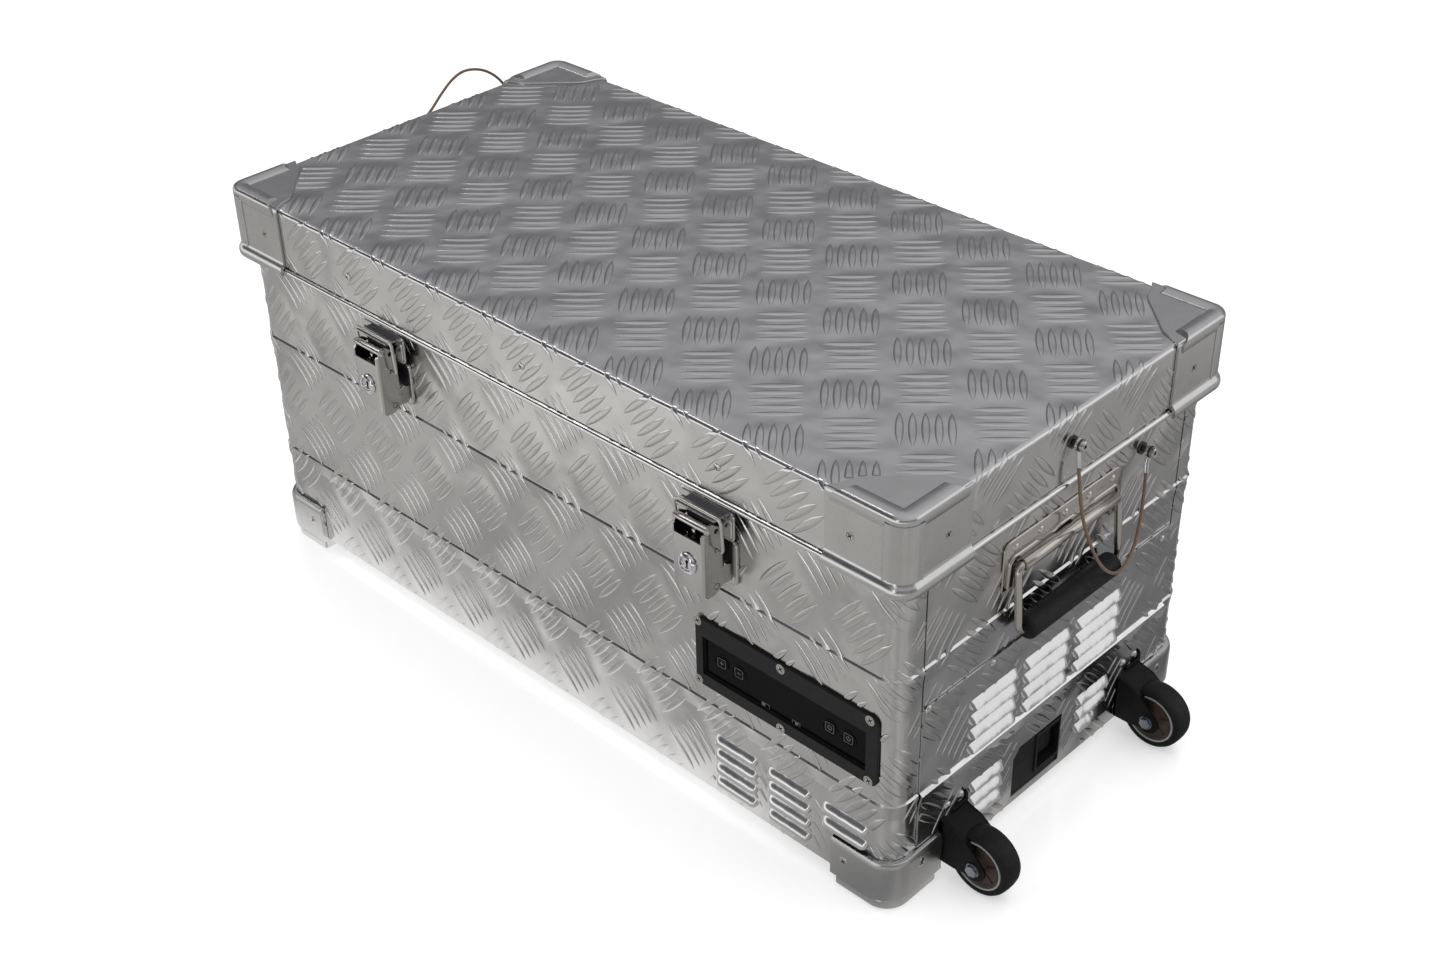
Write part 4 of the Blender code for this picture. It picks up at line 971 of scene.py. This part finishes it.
# ---- latches ----------------------------------------------------------------------------
def latch(side, x):
    wall = -BODY_Y - 0.3
    y, z = LEVER_PIN
    plate = slab(rounded(26, 21.5, 6, 6, (x, 264.5)), wall - 3.2, wall, "y", 0.7)
    ear = [(wall - 2.0, 243), (wall - 2.0, 262), (y - 1, 254.5), *circle(4.6, 8, (y, 248.6), 150, 110)]
    parts = [plate] + [slab(ear, x + a, x + a + 2.0, "x", 0.3) for a in (-14.8, 12.8)]
    parts.append(rod((x - 17.3, y, z), (x + 17.3, y, z), 2.2))
    put("latch_plate_" + side, merged(parts), "steel", "case", stands_for=["latch_base_" + side])
    for dx in (-21.5, 21.5):
        CASE.rivet((x + dx, wall - 3.2, 250), "y", -1, 2.6, 0.9)

    front, back, low, high = -226.0, -205.7, 241.0, 309.5
    lever_body = "lever_" + side
    section = [(x - 17, back), (x - 17, front + 2.6)]
    section += [(x - 17 + 2.6 - 2.6 * math.cos(a), front + 2.6 - 2.6 * math.sin(a))
                for a in [math.pi / 10 * i for i in range(1, 6)]]
    section += [(2 * x - a, b) for a, b in reversed(section)]
    core = [(x - 15.2, back + 6), (x - 15.2, front + 1.7), (x + 15.2, front + 1.7), (x + 15.2, back + 6)]
    sides = [(back + 1, low + 7), (back + 3, 262), (back, 268), (back, 296), (back - 3, 302),
             *circle(5.2, 8, (-218.0, 302.4), 40, 150), (front - 1, 299), (front - 1, low + 7),
             (front, low + 4), (front + 2, low + 1.6), (front + 4.5, low - 0.4), (front + 9, low - 1),
             (back - 4, low + 2)]
    channel = carve(prism(section, low, high), prism(core, low - 9, high + 9))
    channel = carve(channel, prism(sides, x - 30, x + 30, "x"), operation="INTERSECT")
    window = block((x - 14.2, front - 5, 292.5), (x + 14.2, front + 4, 320))
    holes = [prism(circle(2.2, 20, (-211.8, 299.5)), x - 30, x + 30, "x"),
             prism(circle(2.0, 20, BAIL_PIN), x - 30, x + 30, "x"),
             prism(circle(2.9, 20, LEVER_PIN), x - 30, x + 30, "x"),
             prism(circle(7.4, 28, (x, LOCK_Z)), front - 5, front + 5, "y")]
    channel = carve(channel, window, merged(holes))
    put("lever_shell_" + side, channel, "steel", lever_body, stands_for=["latch_lever_" + side], smooth=30)
    strap = sweep([(x - 16.6, -219.5, 303), *bent([(x - 16.2, -221.5, 305.5), (x, -222.5, 306.4),
                                                    (x + 16.2, -221.5, 305.5)], 9), (x + 16.6, -219.5, 303)],
                  3.3, 14, 0.72)
    inner = rod((x - 15, -214.0, 299.0), (x + 15, -214.0, 299.0), 1.7)
    tab = slab([(x - 1.6, 289), (x + 1.6, 289), (x + 1.6, 297), (x - 1.6, 297)], -219.5, -217.0, "y", 0.3)
    put("lever_trim_" + side, merged([strap, inner, tab]), "steel", lever_body, SCREW, smooth=60)
    # A dark sheet in the lever's channel, painted as the shade inside it.
    lever_shade_sheet = block((x - 14.8, -210.8, 252.0), (x + 14.8, -210.2, 307.0))
    put("lever_shade_" + side, lever_shade_sheet, "steel", lever_body, SHADOW)

    profile = [(0.05, front - 1.2), (5.6, front - 1.2), (6.0, front - 1.9), (6.2, front - 3.1),
               (7.4, front - 3.3),
               (8.9, front - 2.4), (9.6, front - 1.2), (9.6, front - 0.2), (6.7, front - 0.1), (6.7,
                                                                                                front + 12),
               (0.05, front + 12)]
    put("lock_cylinder_" + side, turned(profile, (x, 0, LOCK_Z), "y", 40), "steel", "lock_" + side, CHROME,
        stands_for=["lock_barrel_" + side])
    # The keyhole is a dark mark on the face, painted as the shade inside it.
    slot = [block((x - 0.7, front - 1.5, LOCK_Z - 3.6), (x + 0.7, front - 1.0, LOCK_Z + 2)),
            prism(circle(1.5, 14, (x, LOCK_Z + 1.6)), front - 1.5, front - 1.0, "y")]
    put("keyhole_shade_" + side, merged(slot), "steel", "lock_" + side, SHADOW)

    py, pz = BAIL_PIN
    corners = [(x - 15.6, py, pz), (x - 24.0, py, pz), (x - 24.5, py - 2.5, pz + 32),
               (x + 24.5, py - 2.5, pz + 32), (x + 24.0, py, pz), (x + 15.6, py, pz)]
    put("bail_wire_" + side, sweep(bent(corners, 4.5), 1.5, 14), "steel", "bail_" + side, SCREW,
        stands_for=["latch_bail_" + side], smooth=60)

    keeper_y = -203.2
    plate = slab(rounded(29, 13.4, 5, 6, (x, 303.2)), keeper_y - 1.8, keeper_y, "y", 0.5)
    tip = py - 5.4
    hook = [(keeper_y - 1.0, 310.7), (keeper_y - 1.0, 312.2), (tip + 2.4, 312.2), (tip + 1.6, 313.8),
            (tip + 0.6, 314.0), (tip, 313.2), (tip, 311.6), (tip + 0.8, 310.7)]
    lugs = [slab(rounded(5.5, 8.5, 3, 4, (x + dx, 302)), keeper_y - 3.0, keeper_y - 1.2, "y", 0.8)
            for dx in (-22, 22)]
    put("keeper_plate_" + side, merged([plate, slab(hook, x - 20, x + 20, "x", 0.15), *lugs]), "steel", "lid",
        stands_for=["latch_keeper_" + side])


# ---- handles ----------------------------------------------------------------------------
def handle(side, sign):
    px, pz = HANDLE_PIN
    gx, gz = GRIP
    wall = BODY_X + 0.3
    outline = [(-77, 252), (-64, 252), (-62, 262), (-62, 268), (-58, 271), (58, 271), (62, 268), (62, 262),
               (64, 252), (77, 252), *circle(8, 5, (69, 288), 0, 90), *circle(8, 5, (-69, 288), 90, 90)]
    plate = flip(slab(outline, wall, wall + 1.8, "x", 0.5), sign)
    ridge = []
    for y, z, out in ((-70.5, 254, 1.6), (-70.5, 276, 3.0), (-66, 281.4, 3.2), (-38, 281.4, 3.2),
                      (-33, 279.0, 2.6), (-14, 279.0, 2.6), (-9, 281.4, 3.2), (9, 281.4, 3.2), (14, 279.0,
                                                                                                2.6),
                      (33, 279.0, 2.6), (38, 281.4, 3.2), (66, 281.4, 3.2), (70.5, 276, 3.0), (70.5, 254,
                                                                                               1.6)):
        ridge.append((sign * (wall + 0.6 + out * 0.6), y, z))
    ridge = sweep(bent(ridge, 1.4, 3), 1.9, 12)
    rolled = [(3.6, -61.0), (5.2, -61.0), (5.7, -60.4), (5.7, -19.0), (4.9, -16.0), (4.9, 2.0), (5.7, 5.0),
              (5.7, 60.4), (5.2, 61.0), (3.6, 61.0)]
    barrels = [turned(rolled, (sign * px, 0, pz), "y", 32, True)]
    tongue = [(wall + 1.4, pz + 7.0), (px - 1, pz + 5.6), (px - 1, pz + 4.2), (wall + 0.4, pz + 4.4)]
    barrels += [flip(prism(tongue, low, high, "y"), sign) for low, high in ((-60, -19), (5, 60))]
    put("handle_base_" + side, merged([plate, ridge, *barrels]), "stainless", "case",
        stands_for=["handle_plate_" + side], smooth=45)
    for y in (-62.8, -31.4, 0, 31.4, 62.8):
        CASE.rivet((sign * (wall + 1.8), y, 288.2), "x", sign, 3.8, 1.8)

    corners = [(sign * px, -16, pz), (sign * px, -66, pz), (sign * gx, -66, gz), (sign * gx, 66, gz),
               (sign * px, 66, pz), (sign * px, 16, pz)]
    put("handle_wire_" + side, sweep(bent(corners, 8.0, 8), 3.3, 18), "stainless", "handle_" + side,
        stands_for=["handle_bail_" + side], smooth=60)
    ends = [(3.5, 58), (8.2, 58), (9.5, 57.6), (10.3, 56.6), (10.5, 55.2), (10.4, 28)]
    profile = ends + [(10.35, 0)] + [(r, -h) for r, h in reversed(ends)]
    put("grip_tube_" + side, turned(profile, (sign * gx, 0, gz), "y", 48, True), "rubber", "handle_" + side,
        stands_for=["handle_grip_" + side])


# ---- castors ----------------------------------------------------------------------------
def castor(place, y):
    ax, az = AXLE
    wall = COVER_FACE + 0.3
    outline = [(wall, 18.5), (411, 18.5), *circle(11.2, 12, (ax, az), -125, 150), (427, 47), (413, 57.5),
               (wall, 62)]
    parts = [slab(outline, y + a, y + a + 2.5, "y", 0.4) for a in (-16, 13.5)]
    web = [(wall, 62), (413, 57.5), (427, 47), (425.6, 44.8), (411.8, 55), (wall, 59.2)]
    parts.append(prism(web, y - 15, y + 15, "y"))
    base = [(y - 16, 19), (y + 16, 19), (y + 16, 70), (y + 13, 76), (y + 11.5, 67), (y - 3, 65), (y - 5, 61),
            (y - 16, 60)]
    parts.append(slab(base, wall, wall + 2.4, "x", 0.4))
    put("castor_fork_" + place, merged(parts), "black_steel", "case", stands_for=["castor_bracket_" + place])
    bolts = [rod((ax, y - 17, az), (ax, y + 17, az), 3.0)]
    for sign in (-1, 1):
        head = y + sign * 16.0
        bolts.append(turned([(6.2, head), (6.2, head + sign * 0.9), (0.05, head + sign * 0.9)], (ax, 0, az),
                            "y"))
        hexagon = circle(5.6, 6, (ax, az), 15)
        low, high = sorted((head + sign * 0.5, head + sign * 3.8))
        bolts.append(slab(hexagon, low, high, "y", 0.5))
    put("axle_bolt_" + place, merged(bolts), "steel", "case", ZINC)

    half = [(22.6, 9.6), (23.6, 10.6), (25.6, 11.2), (27.4, 10.2), (28.5, 8.0), (29.1, 4.5), (29.3, 0.0)]
    profile = half + [(r, -h) for r, h in reversed(half[:-1])]
    body = "wheel_" + place
    put("tyre_" + place, turned(profile, (ax, y, az), "y", 72, True), "rubber", body,
        stands_for=["wheel_tyre_" + place])
    half = [(20.8, 9.8), (21.2, 10.5), (22.4, 10.5), (22.8, 9.7)]
    profile = half + [(r, -h) for r, h in reversed(half)]
    put("tyre_ring_" + place, turned(profile, (ax, y, az), "y", 72, True), "rubber", body, GREY_RING)
    half = [(3.3, 12.4), (7.6, 12.4), (8.4, 11.6), (8.8, 9.0), (10.4, 8.0), (17.6, 8.2), (19.2, 9.4),
            (20.9, 9.9)]
    profile = half + [(r, -h) for r, h in reversed(half)]
    parts = [turned(profile, (ax, y, az), "y", 48, True)]
    for i in range(6):
        angle = math.radians(60 * i + 20)
        run, across = (math.cos(angle), math.sin(angle)), (-math.sin(angle), math.cos(angle))
        rib = [(ax + run[0] * r + across[0] * w, az + run[1] * r + across[1] * w)
               for r, w in ((8.2, -0.9), (18.6, -0.7), (18.6, 0.7), (8.2, 0.9))]
        parts.append(slab(rib, y - 9.2, y + 9.2, "y", 0.2))
    put("hub_" + place, merged(parts), "hub_brown", body, stands_for=["wheel_hub_" + place])


# ---- lid stays --------------------------------------------------------------------------
STAY_ROUTES = {
    "right": ((406.2, -6.5, 352.0), (407.5, -6.3, 340.0), (409.5, -5.0, 320.0), (412.5, -1.5, 292.0),
              (416.5, 8.0, 262.0), (419.2, 22.0, 236.5), (420.0, 40.0, 220.0), (418.5, 58.0, 217.0),
              (415.0, 75.0, 225.5), (410.5, 87.5, 243.0), (406.0, 96.0, 266.0), (401.9, 101.5, 285.0),
              (401.0, 104.2, 291.2)),
    "left": ((-406.2, -1.0, 359.5), (-410.1, 20.8, 363.9), (-421.7, 48.8, 370.4), (-431.2, 71.2, 378.5),
             (-440.1, 93.2, 384.5), (-446.7, 113.1, 385.7), (-449.5, 131.5, 382.0), (-449.1, 147.3, 374.7),
             (-444.6, 159.5, 362.8), (-436.0, 164.3, 347.0), (-424.5, 159.2, 330.5), (-413.2, 143.8, 314.3),
             (-404.4, 123.3, 301.8), (-401.8, 112.5, 298.2)),
}


def stay(side, sign):
    path = smooth_path(STAY_ROUTES[side], 8)
    rope = put("stay_rope_" + side, sweep(path, 1.4, 14), "wire_rope", None, smooth=80,
               stands_for=["lid_stay_" + side])
    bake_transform(rope)
    for body, place, face, points in (("lid", LID_STUD, LID_X, path),
                                      ("case", BODY_STUD, BODY_X, path[::-1])):
        y, z = place
        middle = (points[0].x, y, z)
        parts = [turned([(3.4, -1.0), (5.2, -1.0), (5.2, 1.0), (3.4, 1.0)], middle, "x", 28, True)]
        reach, sleeve = 0.0, [Vector(middle) + (points[0] - Vector(middle)) * 0.75, points[0]]
        for a, b in zip(points, points[1:]):
            reach += (b - a).length
            sleeve.append(b)
            if reach > 12.5:
                break
        parts.append(sweep(sleeve, 2.2, 14))
        put(f"ferrule_{side}_{body}", merged(parts), "steel", body, CHROME, smooth=60)
        outer = abs(points[0].x) + 3.0
        washers = [turned([(0.05, h0), (r, h0), (r, h1), (0.05, h1)], (0, y, z), "x", 28) for r, h0, h1 in
                   ((5.4, face, face + 1.4), (2.7, face + 1.0, outer), (5.0, outer - 2.0, outer - 0.6))]
        put(f"stud_washers_{side}_{body}", flip(merged(washers), sign), "steel", body, DARK_STEEL)
        head = [(0.05, outer), (1.6, outer), (1.6, outer + 2.6), (3.8, outer + 2.8), (4.4, outer + 2.2),
                (4.4, outer - 0.8), (0.05, outer - 0.8)]
        put(f"stud_head_{side}_{body}", flip(turned(head, (0, y, z), "x", 28), sign), "steel", body, SCREW)


# ---- hinges -----------------------------------------------------------------------------
def hinge(side, x):
    low_x, high_x, knuckle = x - HINGE_HALF, x + HINGE_HALF, 11.5
    low, high = HINGE_Z - 55, HINGE_Z + 35
    case_leaf = [(BODY_Y + 0.3, low), (BODY_Y + 6.4, low), (BODY_Y + 6.4, 306.5), (HINGE_Y + 2.5, 309.5),
                 (HINGE_Y + 3.0, HINGE_Z - 2), (HINGE_Y - 3.0, HINGE_Z - 2), (BODY_Y + 4.4, 308.5),
                 (BODY_Y + 4.4, 301.0), (BODY_Y + 0.3, 301.0)]
    lid_leaf = [(LID_Y + 0.3, 330.0), (LID_Y + 3.4, 328.0), (LID_Y + 3.4, 324.0),
                (HINGE_Y - 3.0, HINGE_Z + 3), (HINGE_Y + 2.0, HINGE_Z + 3.5), (LID_Y + 5.8, 326.0),
                (LID_Y + 5.8, high), (LID_Y + 0.3, high)]
    leaf = carve(slab(case_leaf, low_x, high_x, "x", 0.15),
                 block((x - knuckle - 0.3, HINGE_Y - 8, 307), (x + knuckle + 0.3, HINGE_Y + 8, 330)))
    parts = [leaf, rod((low_x, HINGE_Y, HINGE_Z), (x - knuckle - 0.3, HINGE_Y, HINGE_Z), 4.3, 28),
             rod((x + knuckle + 0.3, HINGE_Y, HINGE_Z), (high_x, HINGE_Y, HINGE_Z), 4.3, 28),
             rod((low_x - 1.5, HINGE_Y, HINGE_Z), (high_x + 1.5, HINGE_Y, HINGE_Z), 1.9)]
    put("hinge_leaf_case_" + side, merged(parts), "steel", "case", stands_for=["hinge_case_leaf_" + side])
    leaf = carve(slab(lid_leaf, low_x, high_x, "x", 0.15),
                 block((low_x - 5, LID_Y + 6.2, 310), (x - knuckle, HINGE_Y + 8, 327)),
                 block((x + knuckle, LID_Y + 6.2, 310), (high_x + 5, HINGE_Y + 8, 327)))
    parts = [leaf, rod((x - knuckle, HINGE_Y, HINGE_Z), (x + knuckle, HINGE_Y, HINGE_Z), 4.3, 28)]
    put("hinge_leaf_lid_" + side, merged(parts), "steel", "lid", stands_for=["hinge_lid_leaf_" + side])
    for dx in (-25, 25):
        CASE.rivet((x + dx, BODY_Y + 6.4, 272), "y", 1, 4.0, 2.0)
        CASE.rivet((x + dx, BODY_Y + 6.4, 291), "y", 1, 4.0, 2.0)
        LID.rivet((x + dx, LID_Y + 5.8, 340), "y", 1, 4.0, 2.0)


# ---- inside -----------------------------------------------------------------------------
def interior():
    low_x, high_x, wall, top = ZONES["large"][0] - 3, ZONES["small"][1] + 3, 3.0, 316.7
    middle = ((low_x + high_x) / 2, 0.0)
    tub = slab(rounded((high_x - low_x) / 2, ZONE_Y + wall, 12, 5, middle), ZONE_FLOOR - wall, top - 1, "z",
               2)
    flange = wrap([(-8.3, top - 3.4), (-8.3, top - 0.5), (-8.8, top)], BODY_X, BODY_Y, BODY_R)
    pockets = []
    for low, high in ZONES.values():
        centre, half = ((low + high) / 2, 0.0), (high - low) / 2
        levels = ((18, -9.0, ZONE_FLOOR), (20, -3.0, ZONE_FLOOR + 2.5), (22, 0.0, ZONE_FLOOR + 9.0),
                  (22, 0.0, top - 5), (24, 1.6, top - 1.4), (28, 5.0, top + 0.1), (28, 5.0, top + 9))
        pockets.append(loft([[(a, b, h) for a, b in rounded(half + out, ZONE_Y + out, radius, 7, centre)]
                             for radius, out, h in levels]))
    shape = carve(tub, *[p.copy() for p in pockets])
    flange = carve(flange, *pockets)
    put("liner_shell", merged([shape, flange]), "liner", "case", stands_for=["liner_tub"], even=True)

    for size, (low, high) in ZONES.items():
        centre, half = ((low + high) / 2, 0.0), ((high - low) / 2 - 9, ZONE_Y - 9)
        base, brim = ZONE_FLOOR + 6.0, 291.0
        parts = []
        for z, radius in ((brim, 2.4), (232.0, 1.4), (174.0, 1.4), (116.0, 1.4), (base + 9, 1.4)):
            ring = [Vector((a, b, z)) for a, b in rounded(half[0], half[1], 10, 5, centre)]
            parts.append(sweep(ring + ring[:1], radius, 8))
        for axis, count in ((0, round(2 * half[0] / 22)), (1, round(2 * half[1] / 22))):
            for i in range(count + 1):
                at = -half[axis] + 8 + (2 * half[axis] - 16) * i / count
                side = half[1 - axis] + 1.6
                points = [(at, -side, brim), (at, -side, base), (at, side, base), (at, side, brim)]
                if axis:
                    points = [(b, a, h) for a, b, h in points]
                parts.append(sweep([(a + centre[0], b, h) for a, b, h in bent(points, 7, 3)], 1.2, 6))
        put("basket_wire_" + size, merged(parts), "steel", "case", stands_for=["basket_" + size], smooth=60)

    profile = [(-7.0, 319.0), (-6.4, 319.6), (-6.4, RIM_TOP + 0.8), (-3.0, RIM_TOP + 1.2),
               (-2.4, LID_TOP - 2.9), (-60, LID_TOP - 2.9)]
    pan = [(-70.0, 322.6), (-66.0, 322.4), (-62.0, 319.4), (-60.0, 319.0)]
    put("lid_lining", wrap(pan + profile, LID_X, LID_Y, LID_R + 60), "liner", "lid",
        stands_for=["lid_liner"], even=True)
    lips = [(-24.5, 317.2), (-24.0, 318.7), (-34.0, 318.7), (-33.5, 317.2), (-31.5, 317.0), (-30.5, 317.7),
            (-27.5, 317.7), (-26.5, 317.0)]
    put("gasket_lips", wrap(lips, LID_X, LID_Y, 40, True, 12), "rubber", "lid", stands_for=["lid_gasket"])


# ---- floor, light and camera ------------------------------------------------------------
# The glowing card that lies on the floor for reflections only: (x in m, colour) stops.
CARD = ((0.40, (0.50, 0.495, 0.485)), (0.42, (0.16, 0.16, 0.17)), (0.52, (0.235, 0.235, 0.24)),
        (0.70, (0.42, 0.415, 0.41)), (0.82, (0.52, 0.515, 0.51)))
CARD_FRONT = (-0.22, -0.06)  # y in m between which CARD gives way to its first colour
CLOUD_SCALE, CLOUDS = 7.0, ((0.32, (0.74,) * 3), (0.68, (1.2,) * 3))
GLOW_SQUEEZE, GLOW_AT = (0.6, 1.6, 0.0), (-0.25, -0.96, 0.0)
GLOW = ((0.0, (1.8,) * 3), (0.12, (1.65,) * 3), (0.34, (0.97,) * 3))
FAR_Y, FAR_LIGHT = (-1.6, -1.0), (1.3, 1.3, 1.3)
# FOOT_LIGHT paints a bright band along the case's foot and CORNER_DARK a shade by its front right corner, seen
# only in reflections.
FOOT_X, FOOT_Y, FOOT_LIGHT = 0.395, 0.2, (1.1, 1.1, 1.1)
CORNER_DARK = (0.27, 0.27, 0.275)
FLOOR_HALF, CARD_HALF = 45000.0, 6000.0
# The world's brightness: by height, dimmed toward DIM_TOWARD, turned up toward the right, and a
# low glow from the front left.  Stops are (place, colour).
SKY = ((0.0, (0.19, 0.19, 0.20)), (0.36, (0.205, 0.205, 0.22)), (0.41, (0.25, 0.25, 0.265)),
       (0.48, (0.39, 0.39, 0.41)), (0.58, (0.53, 0.53, 0.55)), (1.0, (0.62, 0.62, 0.64)))
DIM_TOWARD, DIM = (-0.56, -0.58, 0.59), ((0.9135, (1, 1, 1)), (0.951, (0.36, 0.37, 0.42)))
SIDEWAYS = (0.35, 0.35, 0.0)
SIDE_LIGHT = ((0.15, (0.55, 0.55, 0.55)), (0.5, (0.8, 0.8, 0.8)), (0.85, (1, 1, 1)))
LOW_TOWARD, LOW_SPREAD = (-0.707, -0.707, 0.0), ((0.5, (0, 0, 0)), (0.75, (1, 1, 1)))
LOW_BAND = ((0.11, (0.95,) * 3), (0.2, (0, 0, 0)))
WORLD_STRENGTH = 1.25
CAMERA_AT = (1.0846, -1.0744, 1.1566)
CAMERA_ANGLES = (44.57, 33.73, 1.19)  # azimuth, elevation, roll in degrees
CAMERA_LENS = 49.24
# Name, place, target, size in m and power in W.
LIGHTS = (
    ("overhead", (0.1, -0.1, 4.6), (0, 0, 0), (6.5, 6.5), 150.0),
    ("high_left", (-2.3, -0.8, 3.4), (0, 0, 0.2), (0.5, 2.0), 10.0),
    ("front_right", (0.9, -3.4, 1.3), (0, 0, 0.2), (0.5, 1.8), 6.0),
    ("right", (2.9, 2.3, 1.3), (0.3, 0, 0.2), (3.0, 2.2), 17.0),
)


def painted_reflections():
    """Painted reflections of what the case's walls mirror: a pale floor, brightest at its foot and dark by the
    castors.
    """
    made = bpy.data.materials.new("glowing_card")
    made.use_nodes = True
    net = Net(made.node_tree)
    nodes, links = net.nodes, net.links
    nodes.remove(nodes["Principled BSDF"])
    where = nodes.new("ShaderNodeTexCoord").outputs["Object"]
    x, y, _ = net.split(where)
    plain = net.blended("MIX", net.ranged(y, *CARD_FRONT), net.ramp(x, CARD), CARD[0][1])
    field = nodes.new("ShaderNodeTexNoise")
    field.inputs["Scale"].default_value = CLOUD_SCALE
    field.inputs["Detail"].default_value = 1.0
    links.new(where, field.inputs["Vector"])
    clouds = net.ramp(field.outputs["Fac"], CLOUDS)
    glow = net.ramp(net.vector("DISTANCE", net.vector("MULTIPLY", where, GLOW_SQUEEZE), GLOW_AT), GLOW)
    out = net.maths("MAXIMUM", net.maths("SUBTRACT", net.maths("ABSOLUTE", x), FOOT_X),
                    net.maths("SUBTRACT", net.maths("ABSOLUTE", y), FOOT_Y))
    colour = net.blended("MULTIPLY", 1.0, net.blended("MULTIPLY", 1.0, plain, clouds), glow)
    colour = net.blended("MIX", net.ranged(y, *FAR_Y), colour, FAR_LIGHT)
    foot = net.maths("MULTIPLY", net.ranged(out, 0.01, 0.06), net.ranged(x, 0.20, 0.34))
    colour = net.blended("MIX", foot, colour, FOOT_LIGHT)
    corner = net.maths("MULTIPLY", net.ranged(y, -0.21, -0.19), net.ranged(out, 0.03, 0.10))
    corner = net.maths("MULTIPLY", corner, net.ranged(x, 0.36, 0.24))
    colour = net.blended("MIX", corner, colour, CORNER_DARK)
    emission = nodes.new("ShaderNodeEmission")
    links.new(colour, emission.inputs["Color"])
    mix = nodes.new("ShaderNodeMixShader")
    links.new(nodes.new("ShaderNodeNewGeometry").outputs["Backfacing"], mix.inputs["Fac"])
    links.new(emission.outputs["Emission"], mix.inputs[1])
    links.new(nodes.new("ShaderNodeBsdfTransparent").outputs["BSDF"], mix.inputs[2])
    links.new(mix.outputs["Shader"], nodes["Material Output"].inputs["Surface"])
    return made


def studio():
    mesh = bmesh.new()
    bmesh.ops.create_grid(mesh, x_segments=1, y_segments=1, size=FLOOR_HALF)
    pale = shade("pale_floor", (0.78, 0.78, 0.78), 0.1, 0.0, 0.0, 500, 0.02)
    shader = pale.node_tree.nodes["Principled BSDF"]
    shader.inputs["IOR"].default_value = 1.6
    shader.inputs["Emission Color"].default_value = (1.0, 1.0, 1.0, 1.0)
    shader.inputs["Emission Strength"].default_value = 0.48
    floor = put("floor", mesh, None, None, look=pale)
    floor.location.z = -0.0006
    floor.visible_glossy = False

    mesh = bmesh.new()
    bmesh.ops.create_grid(mesh, x_segments=1, y_segments=1, size=CARD_HALF)
    card = put("reflection_card", mesh, None, None, look=painted_reflections())
    card.location.z = -0.0003
    for ray in ("camera", "diffuse", "transmission", "volume_scatter", "shadow"):
        setattr(card, "visible_" + ray, False)

    world = bpy.data.worlds.new("studio")
    bpy.context.scene.world = world
    world.use_nodes = True
    net = Net(world.node_tree)
    where = net.nodes.new("ShaderNodeTexCoord").outputs["Generated"]
    height = net.split(where)["Z"]
    colour = net.ramp(height, SKY, "EASE")
    dim = net.ramp(net.vector("DOT_PRODUCT", where, DIM_TOWARD), DIM, "EASE")
    across = net.maths("ADD", net.vector("DOT_PRODUCT", where, SIDEWAYS), 0.5)
    for factor in (dim, net.ramp(across, SIDE_LIGHT, "EASE")):
        colour = net.blended("MULTIPLY", 1.0, colour, factor)
    facing = net.vector("DOT_PRODUCT", where, LOW_TOWARD)
    low_glow = net.blended("MULTIPLY", 1.0, net.ramp(facing, LOW_SPREAD, "EASE"),
                           net.ramp(height, LOW_BAND, "EASE"))
    background = net.nodes["Background"]
    net.links.new(net.blended("ADD", 1.0, colour, low_glow), background.inputs["Color"])
    background.inputs["Strength"].default_value = WORLD_STRENGTH

    for name, place, target, size, power in LIGHTS:
        lamp = bpy.data.lights.new(name, "AREA")
        lamp.shape = "RECTANGLE"
        lamp.size, lamp.size_y = size
        lamp.energy = power
        obj = bpy.data.objects.new(name, lamp)
        bpy.context.scene.collection.objects.link(obj)
        obj.location = place
        obj.rotation_euler = (Vector(target) - Vector(place)).to_track_quat("-Z", "Y").to_euler()
        obj.visible_glossy = name != "overhead"


def camera():
    data = bpy.data.cameras.new("camera")
    data.sensor_width = 36.0
    data.lens = CAMERA_LENS
    data.clip_start, data.clip_end = 0.05, 60.0
    obj = bpy.data.objects.new("camera", data)
    bpy.context.scene.collection.objects.link(obj)
    azimuth, elevation, roll = (math.radians(a) for a in CAMERA_ANGLES)
    back = Vector((math.sin(azimuth) * math.cos(elevation), -math.cos(azimuth) * math.cos(elevation),
                   math.sin(elevation)))
    right = Vector((math.cos(azimuth), math.sin(azimuth), 0.0))
    up = back.cross(right)
    across = right * math.cos(roll) - up * math.sin(roll)
    above = up * math.cos(roll) + right * math.sin(roll)
    turn = Matrix((across, above, back)).transposed()
    obj.matrix_world = Matrix.Translation(CAMERA_AT) @ turn.to_4x4()
    bpy.context.scene.camera = obj


# ---- everything -------------------------------------------------------------------------
tread_plates()
sheets()
louvres()
castings()
control_panel()
inlet()
for side, x in LATCH_X.items():
    latch(side, x)
for side, sign in ENDS:
    handle(side, sign)
    stay(side, sign)
    hinge(side, sign * HINGE_X)
for place, y in (("front", -CASTOR_Y), ("rear", CASTOR_Y)):
    castor(place, y)
interior()
CASE.place_all()
LID.place_all()
studio()
camera()
bpy.context.scene.view_settings.view_transform = "Standard"
